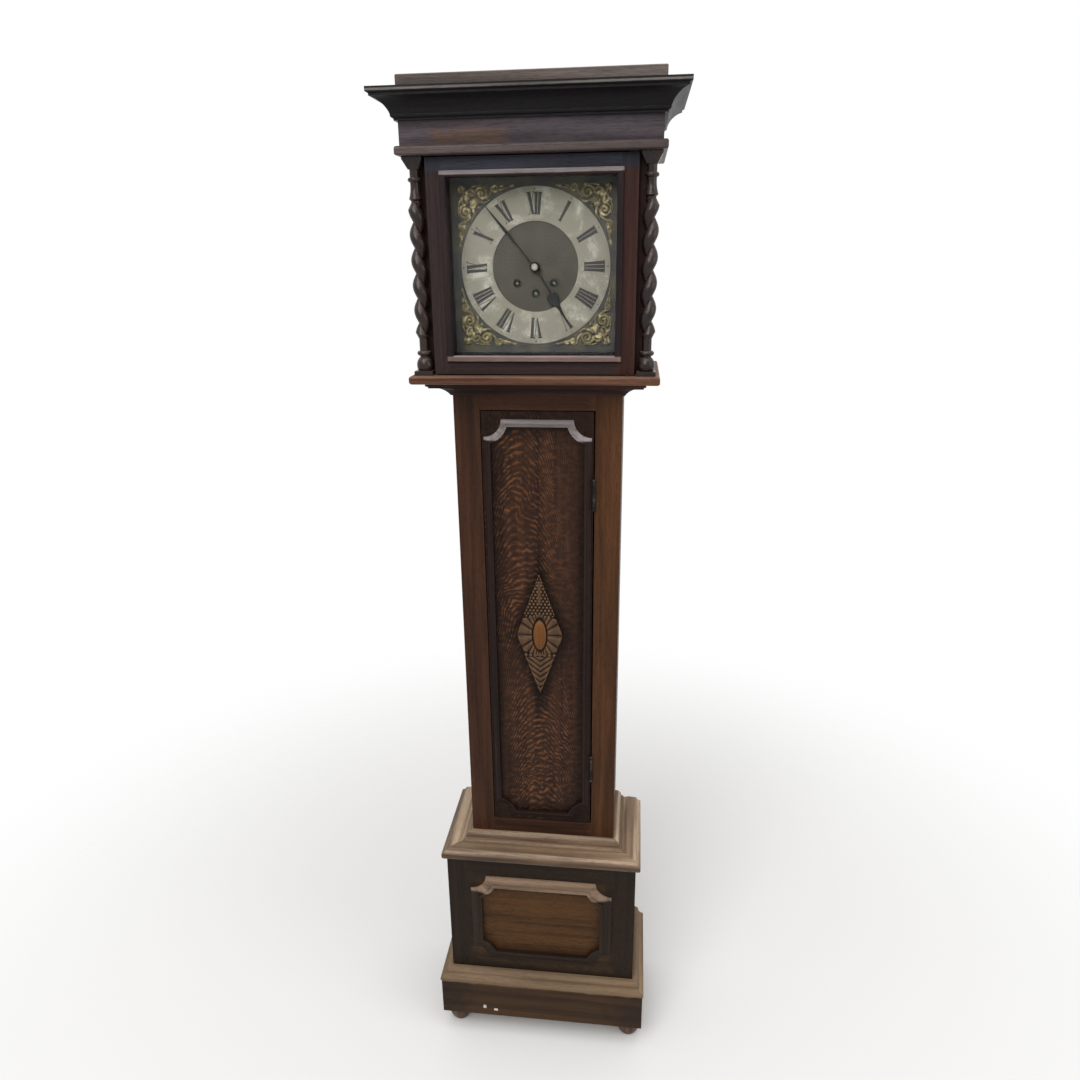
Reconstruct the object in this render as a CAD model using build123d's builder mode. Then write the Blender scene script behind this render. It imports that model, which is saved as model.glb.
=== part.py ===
from build123d import *
import math
import os

os.makedirs("parts", exist_ok=True)

# All sizes are millimetres. +Z is up, +X is to the viewer's right and the dial faces -Y.
# The origin lies on the floor, midway across and midway from front to back.
# A "depth" is a distance forward from the flat back of the clock.

# Feet and skirting
foot_height = 55.0
foot_radius = 24.5
foot_inset_x = 28.0
foot_inset_y = 44.0
skirt_board_height = 86.0
skirt_board_thickness = 22.0
skirt_nose = 2.0
skirt_moulding_height = 25.0

# Plinth
plinth_reach = 47.0
plinth_height = 403.0
plinth_board = 12.0
floor_board = 12.0
floor_board_lift = 8.0
plinth_moulding_rise = 28.0
plinth_moulding_reach = 9.0
plinth_moulding_cove = 11.0
plinth_panel_width = 290.0
plinth_panel_height = 212.0
plinth_panel_centre = 303.0
plinth_panel_bar = 23.0
plinth_panel_hollow = 32.0
plinth_panel_proud = 9.0

# Trunk
trunk_width = 290.0
trunk_depth = 158.0
trunk_board = 12.0
trunk_foot_below_moulding = 20.0
front_frame_thickness = 18.0
back_board = 9.0
opening_bottom = 518.5
opening_top = 1359.5
opening_half_width = 99.5
support_top = 1410.0
support_drop = 25.0
support_reach = 38.0

# Trunk door and its trim
door_left_gap = 1.5
door_hinge_gap = 2.5
door_end_gap = 1.5
door_panel_width = 188.0
door_panel_top = 1344.0
door_panel_bottom = 530.0
door_panel_bar = 12.0
door_panel_hollow = 31.0
door_panel_proud = 7.0
diamond_height = 250.0
diamond_width = 88.0
diamond_centre = 938.0
diamond_proud = 7.0
boss_width = 25.0
boss_height = 62.0
petal_count = 16
keyhole_from_edge = 19.5
keyhole_height = 920.0
keyhole_radius = 1.3
escutcheon_radius = 2.8
escutcheon_flange = 0.6
escutcheon_length = 6.0
lock_width = 38.0
lock_height = 50.0
lock_depth = 9.0
lock_set_in = 4.0
bolt_height = 8.0
bolt_thickness = 3.6
bolt_throw = 10.0

# Trunk door hinges
hinge_heights = (650.0, 1212.0)
hinge_leaf_height = 44.0
hinge_leaf_thickness = 1.1
hinge_leaf_depth = 16.0
hinge_knuckle_radius = 3.0
hinge_knuckle_count = 5
hinge_pin_radius = 1.5
hinge_finial_radius = 3.6

# Hood
hood_inner_half = 163.0
hood_board = 18.0
hood_side_depth = 174.0
hood_base_thickness = 13.7
hood_base_reach = 58.5
hood_floor_clearance = 0.3
hood_slide_clearance = 0.5
hood_back_gap = 1.0
hood_side_height = 329.0
top_frame_thickness = 13.0
top_frame_inner_half = 151.0
top_frame_reach = 53.0
top_frame_depth = 165.5
frieze_half = 197.0
frieze_depth = 211.5
frieze_board = 12.0
frieze_visible = 34.0
cornice_height = 41.0
cornice_reach = 36.5
cornice_fillet = 6.5
cap_half = 200.0
cap_depth = 203.0
cap_thickness = 22.5

# Twist columns
column_x = 181.5
column_depth = 190.5
column_twist_radius = 13.0
column_groove_radius = 5.4
column_pitch = 38.2
column_half_turns = 11
column_base_half = 15.3
column_base_height = 7.0
column_capital_half = 15.5
column_capital_height = 17.0
column_neck_radius = 7.6
column_torus_radius = 13.8
column_ring_radius = 11.0

# Inner frame round the dial, and the glazed door in front of it
mask_back = 159.0
mask_thickness = 22.0
mask_opening_half = 134.0
mask_opening_bottom = 1457.0
mask_opening_top = 1725.0
glass_door_half = 162.6
glass_door_gap = 2.0
glass_door_thickness = 18.0
glass_door_behind = 1.5
glass_door_stile = 24.6
glass_door_rail = 22.0
glass_bead_width = 10.0
glass_bead_lap = 3.0
glass_bead_proud = 4.0
glass_bead_inset = 10.0
glass_thickness = 2.5
glass_play = 0.6
pivot_from_edge = 4.6
pivot_from_front = 6.0
pivot_radius = 2.0
pivot_in_door = 10.0
pivot_in_frame = 7.0
pivot_end_gap = 0.3
pivot_plate_thickness = 1.2
pivot_plate_width = 16.0

# Dial and hands
dial_centre_height = 1591.0
dial_half = 136.0
dial_plate_front = 155.0
dial_plate_thickness = 1.6
dial_foot_radius = 3.5
ring_outer = 120.5
ring_inner = 69.5
ring_thickness = 2.0
spandrel_half = 124.0
spandrel_gap = 3.0
spandrel_thickness = 2.4
minute_hand_length = 120.5
minute_hand_width = 5.6
minute_hand_angle = 40.2
hour_hand_length = 106.0
hour_hand_blob = 10.5
hour_hand_angle = -148.5
hand_thickness = 1.2
hand_boss_radius = 7.4
collet_height = 4.2
winding_hole_radius = 4.6
winding_square = 4.4
winding_side_x = 30.0
winding_side_drop = 25.0
winding_middle_drop = 41.0

# Movement
seat_thickness = 18.0
seat_top = 1508.0
seat_back = 58.0
seat_front = 150.0
plate_thickness = 2.5
back_plate_back = 60.0
plate_gap = 60.0
plate_half_width = 62.0
plate_height = 145.0
pillar_radius = 4.0
pillar_inset = 8.0
arbor_radius = 1.5
thin_arbor_radius = 1.0
winding_arbor_radius = 3.0
running_clearance = 0.06
pin_clearance = 0.05

# Wheels: teeth and modules
motion_module = 0.8
cannon_teeth = 10
minute_wheel_teeth = 40
hour_module = 1.0
minute_pinion_teeth = 10
hour_wheel_teeth = 30
great_module = 0.6
great_teeth = 80
barrel_pinion_teeth = 14
intermediate_module = 0.5
intermediate_teeth = 60
centre_pinion_teeth = 8
centre_module = 0.4
centre_teeth = 72
third_pinion_teeth = 8
third_module = 0.38
third_teeth = 70
escape_pinion_teeth = 8
escape_teeth = 36
escape_radius = 12.5
escape_rise = 28.0
pallet_rise = 20.0
barrel_radius = 20.0
barrel_length = 23.0
barrel_wall = 1.6

# Pendulum, crutch, hammers and rods
pendulum_length = 400.0
pendulum_depth = 45.0
pendulum_rod_radius = 2.2
pendulum_tail = 62.0
bob_radius = 45.0
bob_thickness = 24.0
rating_nut_radius = 8.0
rating_nut_height = 7.0
crutch_length = 50.0
crutch_gap = 0.3
hammer_count = 5
hammer_pitch = 12.0
hammer_first_x = 28.0
hammer_pivot_height = 1522.0
hammer_pivot_depth = 50.0
hammer_arm_length = 54.0
hammer_head_radius = 4.0
hammer_head_length = 23.0
rod_radius = 1.6
rod_depth = 24.0
rod_longest = 380.0
rod_step = 20.0
rod_block_bottom = 1476.0
rod_block_height = 16.0

# Small gaps that keep glued pieces apart as separate pieces of wood
joint_gap = 0.1

# Levels and places that follow from the sizes above
skirt_shoulder = foot_height + skirt_board_height
skirt_top = skirt_shoulder + skirt_moulding_height
plinth_top = foot_height + plinth_height
trunk_shoulder = plinth_top + plinth_moulding_rise
trunk_bottom = plinth_top - trunk_foot_below_moulding
trunk_half = trunk_width / 2
plinth_half = trunk_half + plinth_reach
plinth_depth = trunk_depth + plinth_reach
hood_base_bottom = support_top + hood_floor_clearance
hood_floor = hood_base_bottom + hood_base_thickness
hood_side_top = hood_floor + hood_side_height
frieze_bottom = hood_side_top + top_frame_thickness
cornice_bottom = frieze_bottom + frieze_visible
cornice_top = cornice_bottom + cornice_height
clock_depth = frieze_depth + cornice_reach
back_y = clock_depth / 2
seat_bottom = seat_top - seat_thickness
front_plate_back = back_plate_back + plate_thickness + plate_gap
front_plate_front = front_plate_back + plate_thickness
mask_front = mask_back + mask_thickness
glass_door_back = mask_front + glass_door_behind
glass_door_front = glass_door_back + glass_door_thickness
glass_door_bottom = hood_floor + glass_door_gap
glass_door_top = hood_side_top - glass_door_gap
pivot_x = glass_door_half - pivot_from_edge
pivot_depth = glass_door_front - pivot_from_front
door_left = door_left_gap - opening_half_width
door_right = opening_half_width - door_hinge_gap
hinge_x = opening_half_width - door_hinge_gap / 2
hinge_depth = trunk_depth + hinge_finial_radius + 0.2


def at_depth(depth):
    """The vertical plane at a depth, seen from the front: its x is X and its y is Z."""
    return Plane.XZ.offset(depth - back_y)


def rectangle_between(x_low, x_high, y_low, y_high):
    """A rectangle of the open sketch between two corners."""
    with Locations(((x_low + x_high) / 2, (y_low + y_high) / 2)):
        Rectangle(x_high - x_low, y_high - y_low)


def polar(centre, distance, angle):
    """A point at a distance and an angle from a centre, in the plane being drawn on."""
    turn = math.radians(angle)
    return (centre[0] + distance * math.cos(turn), centre[1] + distance * math.sin(turn))


def finish(part, name):
    """Names a finished piece and writes its file."""
    part.label = name
    export_step(part, f"parts/{name}.step")
    return part


def upright_board(name, x_span, depth_span, z_span):
    """One plain board between two corners."""
    with BuildPart() as board:
        with BuildSketch(at_depth(depth_span[0])):
            rectangle_between(*x_span, *z_span)
        extrude(amount=depth_span[1] - depth_span[0])
    return finish(board.part, name)


def framed(outer, inner, depth_span):
    """Four straight members round an opening: stiles full height, rails between them."""
    left, right, bottom, top = outer
    inner_left, inner_right, inner_bottom, inner_top = inner
    with BuildPart() as frame:
        with BuildSketch(at_depth(depth_span[0])):
            rectangle_between(left, inner_left, bottom, top)
            rectangle_between(inner_right, right, bottom, top)
            rectangle_between(inner_left + joint_gap, inner_right - joint_gap, bottom, inner_bottom)
            rectangle_between(inner_left + joint_gap, inner_right - joint_gap, inner_top, top)
        extrude(amount=depth_span[1] - depth_span[0])
    return frame.part


def mitred_run(outline, half_width, depth):
    """A moulding run round the left side, front and right side, sawn apart at its two mitres.

    The outline lists (reach, height) or (reach, height, bulge): reach outwards from the line that
    is run, and the bulge of the arc that arrives at that point.
    """
    reach = max(point[0] for point in outline)
    low = min(point[1] for point in outline)
    high = max(point[1] for point in outline)
    with BuildPart() as run:
        with BuildLine() as route:
            Polyline(
                (-half_width, back_y),
                (-half_width, back_y - depth),
                (half_width, back_y - depth),
                (half_width, back_y),
            )
        with BuildSketch(Plane((-half_width, back_y, 0), x_dir=(-1, 0, 0), z_dir=(0, 1, 0))):
            with BuildLine():
                for start, end in zip(outline, outline[1:] + outline[:1]):
                    if len(end) == 3:
                        SagittaArc(start[:2], end[:2], end[2])
                    else:
                        Line(start[:2], end[:2])
            make_face()
        sweep(path=route.wire(), transition=Transition.RIGHT)
        with BuildSketch(Plane.XY.offset(low - 1)):
            for side in (-1, 1):
                with Locations((side * half_width, back_y - depth)):
                    Rectangle(3 * reach + 3, joint_gap, rotation=-45 * side)
        extrude(amount=high - low + 2, mode=Mode.SUBTRACT)
    return run.part


def panel_field(width, height, hollow, inset):
    """A rectangle whose corners are hollowed by quarter circles, drawn in by an inset all round."""
    with BuildSketch(mode=Mode.PRIVATE) as field:
        Rectangle(width - 2 * inset, height - 2 * inset)
        with GridLocations(width, height, 2, 2):
            Circle(hollow + inset, mode=Mode.SUBTRACT)
    return field.sketch_local


def panel_moulding(name, width, bottom, top, bar, hollow, proud, depth):
    """An applied frame moulding with hollowed corners, low outside and highest at its inner edge."""
    height = top - bottom
    middle = (0, (top + bottom) / 2)
    edge, slope = 0.3 * proud, 0.45 * proud
    slope_run = 0.5 * bar
    # Each layer: inset from the outside, where it starts, how high it rises, how far it leans in
    layers = (
        (0, 0, edge, 0),
        (0.1 * bar, edge, slope, slope_run),
        (0.7 * bar, 0, proud, 0),
    )
    with BuildPart() as moulding:
        for inset, foot, rise, lean in layers:
            with BuildSketch(at_depth(depth + foot)):
                with Locations(middle):
                    add(panel_field(width, height, hollow, inset))
            extrude(amount=rise, taper=math.degrees(math.atan2(lean, rise)))
        with BuildSketch(at_depth(depth)):
            with Locations(middle):
                add(panel_field(width, height, hollow, bar))
        extrude(amount=proud, mode=Mode.SUBTRACT)
    return finish(moulding.part, name)


# Plinth
for side, name in ((-1, "plinth_side_left"), (1, "plinth_side_right")):
    faces = sorted((side * plinth_half, side * (plinth_half - plinth_board)))
    upright_board(name, faces, (0, plinth_depth - plinth_board), (foot_height, plinth_top))
upright_board(
    "plinth_front",
    (-plinth_half, plinth_half),
    (plinth_depth - plinth_board, plinth_depth),
    (foot_height, plinth_top),
)
floor_half = plinth_half - plinth_board
with BuildPart() as plinth_floor:
    with BuildSketch(Plane.XY.offset(foot_height + floor_board_lift)):
        rectangle_between(
            -floor_half, floor_half, back_y - plinth_depth + plinth_board, back_y - back_board
        )
    extrude(amount=floor_board)
finish(plinth_floor.part, "plinth_floor")

panel_moulding(
    "plinth_panel_moulding",
    plinth_panel_width,
    plinth_panel_centre - plinth_panel_height / 2,
    plinth_panel_centre + plinth_panel_height / 2,
    plinth_panel_bar,
    plinth_panel_hollow,
    plinth_panel_proud,
    plinth_depth,
)

# The stepped moulding that covers the top of the plinth and laps its face
moulding_edge = plinth_reach + plinth_moulding_reach
plinth_top_moulding = mitred_run(
    [
        (0, plinth_top),
        (0, trunk_shoulder),
        (2, trunk_shoulder),
        (13, trunk_shoulder - 10, 3),
        (13, trunk_shoulder - 12),
        (16, trunk_shoulder - 12),
        (26, trunk_shoulder - 15, -2.5),
        (28, trunk_shoulder - 15),
        (28, trunk_shoulder - 14),
        (moulding_edge - 9, trunk_shoulder - 16),
        (moulding_edge, plinth_top + 5, -2),
        (moulding_edge, plinth_top),
        (plinth_reach, plinth_top - plinth_moulding_cove, 3),
        (plinth_reach, plinth_top),
    ],
    trunk_half,
    trunk_depth,
)
finish(plinth_top_moulding, "plinth_top_moulding")

# Skirting boards with a hollowed and rounded top edge
skirt_face = skirt_board_thickness + skirt_nose
skirt_boards = mitred_run(
    [
        (0, foot_height),
        (skirt_board_thickness, foot_height),
        (skirt_board_thickness, skirt_shoulder),
        (skirt_face, skirt_shoulder + 2),
        (skirt_face, skirt_shoulder + 7),
        (skirt_face - 11, skirt_shoulder + 15, 2),
        (skirt_face - 11, skirt_shoulder + 17),
        (2, skirt_top, -3),
        (0, skirt_top),
    ],
    plinth_half,
    plinth_depth,
)
finish(skirt_boards, "skirt_boards")

# Four turned bun feet, each with a short spigot up to the floor board
foot_x = plinth_half + skirt_board_thickness - foot_inset_x
foot_depths = (foot_inset_y, plinth_depth + skirt_board_thickness - foot_inset_y)
foot_waist = 14.0
foot_pad = 15.0
with BuildPart() as bun_feet:
    for x in (-foot_x, foot_x):
        for depth in foot_depths:
            with BuildSketch(Plane((x, back_y - depth, 0), z_dir=(0, -1, 0), x_dir=(1, 0, 0))):
                with BuildLine():
                    Line((0, 0), (foot_pad, 0))
                    Spline(
                        (foot_pad, 0), (foot_radius, foot_height * 0.42), (foot_waist, foot_height * 0.84)
                    )
                    Polyline(
                        (foot_waist, foot_height * 0.84),
                        (foot_waist + 2, foot_height * 0.9),
                        (foot_waist + 2, foot_height - joint_gap),
                        (0, foot_height - joint_gap),
                        (0, 0),
                    )
                make_face()
            revolve(axis=Axis((x, back_y - depth, 0), (0, 0, 1)))
finish(bun_feet.part, "bun_feet")

# Backboards: one wide in the plinth, one long in the trunk and hood, and two that fill out the hood
long_half = trunk_half - trunk_board
with BuildPart() as backboard:
    with BuildSketch(at_depth(0)):
        rectangle_between(-floor_half, floor_half, foot_height, trunk_bottom - joint_gap)
        rectangle_between(-long_half, long_half, trunk_bottom, hood_side_top - hood_back_gap)
        for side in (-1, 1):
            faces = sorted((side * floor_half, side * (trunk_half + joint_gap)))
            rectangle_between(*faces, trunk_bottom, plinth_top)
            faces = sorted((side * (hood_inner_half - hood_back_gap), side * (long_half + joint_gap)))
            rectangle_between(*faces, seat_top, hood_side_top - hood_back_gap)
    extrude(amount=back_board)
finish(backboard.part, "backboard")

# Trunk sides run down inside the plinth and stand up inside the hood to carry the seatboard
for side, name in ((-1, "trunk_side_left"), (1, "trunk_side_right")):
    faces = sorted((side * trunk_half, side * (trunk_half - trunk_board)))
    upright_board(name, faces, (0, trunk_depth - front_frame_thickness), (trunk_bottom, seat_bottom))

trunk_front_frame = framed(
    (-trunk_half, trunk_half, trunk_bottom, support_top),
    (-opening_half_width, opening_half_width, opening_bottom, opening_top),
    (trunk_depth - front_frame_thickness, trunk_depth),
)
finish(trunk_front_frame, "trunk_front_frame")

# Moulding under the hood, carried by the trunk
support_bottom = support_top - support_drop
hood_support_moulding = mitred_run(
    [
        (0, support_bottom),
        (3, support_bottom),
        (support_reach - 4, support_top - 9, 5),
        (support_reach - 4, support_top - 7),
        (support_reach, support_top - 5),
        (support_reach, support_top),
        (0, support_top),
    ],
    trunk_half,
    trunk_depth,
)
finish(hood_support_moulding, "hood_support_moulding")

with BuildPart() as seatboard:
    with BuildSketch(Plane.XY.offset(seat_bottom)):
        rectangle_between(-trunk_half, trunk_half, back_y - seat_front, back_y - seat_back)
    extrude(amount=seat_thickness)
finish(seatboard.part, "seatboard")

# Trunk door with its keyhole
door_back = trunk_depth - front_frame_thickness
door_bottom = opening_bottom + door_end_gap
door_top = opening_top - door_end_gap
keyhole_x = door_left + keyhole_from_edge
with BuildPart() as trunk_door:
    with BuildSketch(at_depth(door_back)):
        rectangle_between(door_left, door_right, door_bottom, door_top)
        with Locations((keyhole_x, keyhole_height)):
            Circle(escutcheon_radius - escutcheon_flange, mode=Mode.SUBTRACT)
    extrude(amount=front_frame_thickness)
finish(trunk_door.part, "trunk_door")

panel_moulding(
    "door_panel_moulding",
    door_panel_width,
    door_panel_bottom,
    door_panel_top,
    door_panel_bar,
    door_panel_hollow,
    door_panel_proud,
    trunk_depth,
)

# Carved diamond: a bordered lozenge with an oval boss in a ring of petals
petal_ring_x = boss_width / 2 + 6
petal_ring_z = boss_height / 2 + 5
with BuildPart() as diamond_applique:
    for inset, lift in ((0, diamond_proud * 0.55), (3, diamond_proud * 0.4)):
        with BuildSketch(at_depth(trunk_depth)):
            with Locations((0, diamond_centre)):
                Polygon(
                    (-diamond_width / 2 + inset, 0),
                    (0, -diamond_height / 2 + 2 * inset),
                    (diamond_width / 2 - inset, 0),
                    (0, diamond_height / 2 - 2 * inset),
                )
        extrude(amount=lift, mode=Mode.ADD)
    with BuildSketch(at_depth(trunk_depth)):
        with Locations((0, diamond_centre)):
            Ellipse(boss_width / 2, boss_height / 2)
    extrude(amount=diamond_proud)
    fillet(diamond_applique.edges().group_by(Axis.Y)[0], radius=2)
    with BuildSketch(at_depth(trunk_depth)):
        for index in range(petal_count):
            turn = 2 * math.pi * index / petal_count
            place = (
                petal_ring_x * math.sin(turn),
                diamond_centre + petal_ring_z * math.cos(turn),
            )
            with Locations(Location((place[0], place[1], 0), (0, 0, -math.degrees(turn)))):
                Ellipse(2.4, 5.2)
        for end in (-1, 1):
            with Locations((0, diamond_centre + end * diamond_height * 0.33)):
                Ellipse(4, 11)
    extrude(amount=diamond_proud * 0.8)
finish(diamond_applique.part, "diamond_applique")

# Lock: a case on the back of the door with a channel for its bolt, and a keyhole tube in the door
lock_left = door_left + lock_set_in
lock_back = door_back - lock_depth
bolt_front = door_back - 0.8
bolt_z = keyhole_height + 14
channel = 0.2
with BuildPart() as door_lock:
    with BuildSketch(at_depth(lock_back)):
        rectangle_between(
            lock_left,
            lock_left + lock_width,
            keyhole_height - lock_height / 2,
            keyhole_height + lock_height / 2,
        )
    extrude(amount=lock_depth)
    with BuildSketch(at_depth(bolt_front - bolt_thickness - channel)):
        rectangle_between(
            lock_left, lock_left + lock_width - 4, bolt_z - bolt_height / 2 - channel,
            bolt_z + bolt_height / 2 + channel,
        )
    extrude(amount=bolt_thickness + 2 * channel, mode=Mode.SUBTRACT)
    with BuildSketch(at_depth(trunk_depth - escutcheon_length)):
        with Locations((keyhole_x, keyhole_height)):
            Circle(escutcheon_radius - escutcheon_flange - pin_clearance)
    extrude(amount=escutcheon_length)
    with BuildSketch(at_depth(trunk_depth)):
        with Locations((keyhole_x, keyhole_height)):
            Circle(escutcheon_radius)
    extrude(amount=escutcheon_flange)
    with BuildSketch(at_depth(lock_back)):
        with Locations((keyhole_x, keyhole_height)):
            Circle(keyhole_radius)
    extrude(amount=trunk_depth + escutcheon_flange - lock_back, mode=Mode.SUBTRACT)
finish(door_lock.part, "door_lock")

upright_board(
    "lock_bolt",
    (lock_left + 1, lock_left + lock_width - bolt_throw),
    (bolt_front - bolt_thickness, bolt_front),
    (bolt_z - bolt_height / 2, bolt_z + bolt_height / 2),
)

# Trunk door hinges: the leaves stand in the gap beside the door, the knuckles in front of it
knuckle_gap = 0.3
knuckle_length = hinge_leaf_height / hinge_knuckle_count


def hinge_leaves(name, leaf_x, first_knuckle):
    """Two hinge leaves with every second knuckle, at x from leaf_x outwards."""
    with BuildPart() as leaves:
        for height in hinge_heights:
            bottom = height - hinge_leaf_height / 2
            with BuildSketch(Plane.XY.offset(bottom)):
                rectangle_between(
                    leaf_x,
                    leaf_x + hinge_leaf_thickness,
                    back_y - trunk_depth,
                    back_y - trunk_depth + hinge_leaf_depth,
                )
            extrude(amount=hinge_leaf_height)
            for index in range(first_knuckle, hinge_knuckle_count, 2):
                with BuildSketch(Plane.XY.offset(bottom + index * knuckle_length + knuckle_gap / 2)):
                    rectangle_between(
                        leaf_x,
                        leaf_x + hinge_leaf_thickness,
                        back_y - hinge_depth,
                        back_y - trunk_depth,
                    )
                    with Locations((hinge_x, back_y - hinge_depth)):
                        Circle(hinge_knuckle_radius)
                        Circle(hinge_pin_radius + running_clearance, mode=Mode.SUBTRACT)
                extrude(amount=knuckle_length - knuckle_gap)
    return finish(leaves.part, name)


hinge_leaves("trunk_hinge_case_leaves", opening_half_width - hinge_leaf_thickness, 0)
hinge_leaves("trunk_hinge_door_leaves", door_right, 1)

with BuildPart() as trunk_hinge_pins:
    for height in hinge_heights:
        pin_half = hinge_leaf_height / 2 + hinge_finial_radius
        with BuildSketch(Plane.XY.offset(height - pin_half)):
            with Locations((hinge_x, back_y - hinge_depth)):
                Circle(hinge_pin_radius)
        extrude(amount=2 * pin_half)
        for end in (-1, 1):
            collar_z = height + end * (hinge_leaf_height / 2 + 0.6)
            with Locations((hinge_x, back_y - hinge_depth, height + end * (pin_half + 0.8))):
                Sphere(hinge_finial_radius)
            with Locations((hinge_x, back_y - hinge_depth, collar_z)):
                Cylinder(hinge_knuckle_radius, 1.0)
finish(trunk_hinge_pins.part, "trunk_hinge_pins")

# Hood: base frame, sides, top frame, frieze, cornice and capping board
base_inner_half = trunk_half + hood_slide_clearance
base_inner_depth = trunk_depth + hood_slide_clearance
with BuildPart() as hood_base:
    add(
        mitred_run(
            [
                (0, hood_base_bottom),
                (hood_base_reach - 6, hood_base_bottom),
                (hood_base_reach, hood_base_bottom + 4, -1.5),
                (hood_base_reach, hood_floor - 4),
                (hood_base_reach - 4, hood_floor, -1.2),
                (0, hood_floor),
            ],
            base_inner_half,
            base_inner_depth,
        )
    )
    with BuildSketch(Plane.XY.offset(hood_floor - pivot_in_frame)):
        with Locations((pivot_x, back_y - pivot_depth)):
            Circle(pivot_radius + running_clearance)
    extrude(amount=pivot_in_frame, mode=Mode.SUBTRACT)
finish(hood_base.part, "hood_base")

for side, name in ((-1, "hood_side_left"), (1, "hood_side_right")):
    faces = sorted((side * hood_inner_half, side * (hood_inner_half + hood_board)))
    upright_board(name, faces, (0, hood_side_depth), (hood_floor, hood_side_top))

with BuildPart() as hood_top_frame:
    add(
        mitred_run(
            [
                (0, hood_side_top),
                (top_frame_reach - 3, hood_side_top),
                (top_frame_reach, hood_side_top + 3, -0.8),
                (top_frame_reach, frieze_bottom - 4),
                (top_frame_reach - 4, frieze_bottom, -1.2),
                (0, frieze_bottom),
            ],
            top_frame_inner_half,
            top_frame_depth,
        )
    )
    with BuildSketch(Plane.XY.offset(hood_side_top)):
        with Locations((pivot_x, back_y - pivot_depth)):
            Circle(pivot_radius + running_clearance)
    extrude(amount=pivot_in_frame, mode=Mode.SUBTRACT)
finish(hood_top_frame.part, "hood_top_frame")

frieze = mitred_run(
    [
        (0, frieze_bottom),
        (frieze_board, frieze_bottom),
        (frieze_board, cornice_top),
        (0, cornice_top),
    ],
    frieze_half - frieze_board,
    frieze_depth - frieze_board,
)
finish(frieze, "frieze")

cornice = mitred_run(
    [
        (0, cornice_bottom),
        (5, cornice_bottom),
        (5, cornice_bottom + 3),
        (9, cornice_bottom + 6, -1),
        (9, cornice_bottom + 8),
        (cornice_reach - 4, cornice_top - cornice_fillet - 5, 4),
        (cornice_reach - 4, cornice_top - cornice_fillet - 2),
        (cornice_reach, cornice_top - cornice_fillet),
        (cornice_reach, cornice_top),
        (0, cornice_top),
    ],
    frieze_half,
    frieze_depth,
)
finish(cornice, "cornice")

with BuildPart() as capping_board:
    with BuildSketch(Plane.XY.offset(cornice_top)):
        rectangle_between(-cap_half, cap_half, back_y - cap_depth, back_y)
    extrude(amount=cap_thickness)
    chamfer(capping_board.faces().sort_by(Axis.Z)[-1].edges(), length=1.5)
finish(capping_board.part, "capping_board")


def strand_outline(turned):
    """The level cut of a one-strand twist: widest at the strand, with a notch opposite it."""
    points = []
    for step in range(9):
        around = -180 + 45 * step
        share = abs(math.cos(math.radians(around) / 2))
        radius = column_groove_radius + (column_twist_radius - column_groove_radius) * share
        points.append(polar((0, 0), radius, around + turned))
    with BuildSketch(mode=Mode.PRIVATE) as outline:
        with BuildLine():
            Spline(*points)
        make_face()
    return outline.sketch_local.faces()[0]


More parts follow.
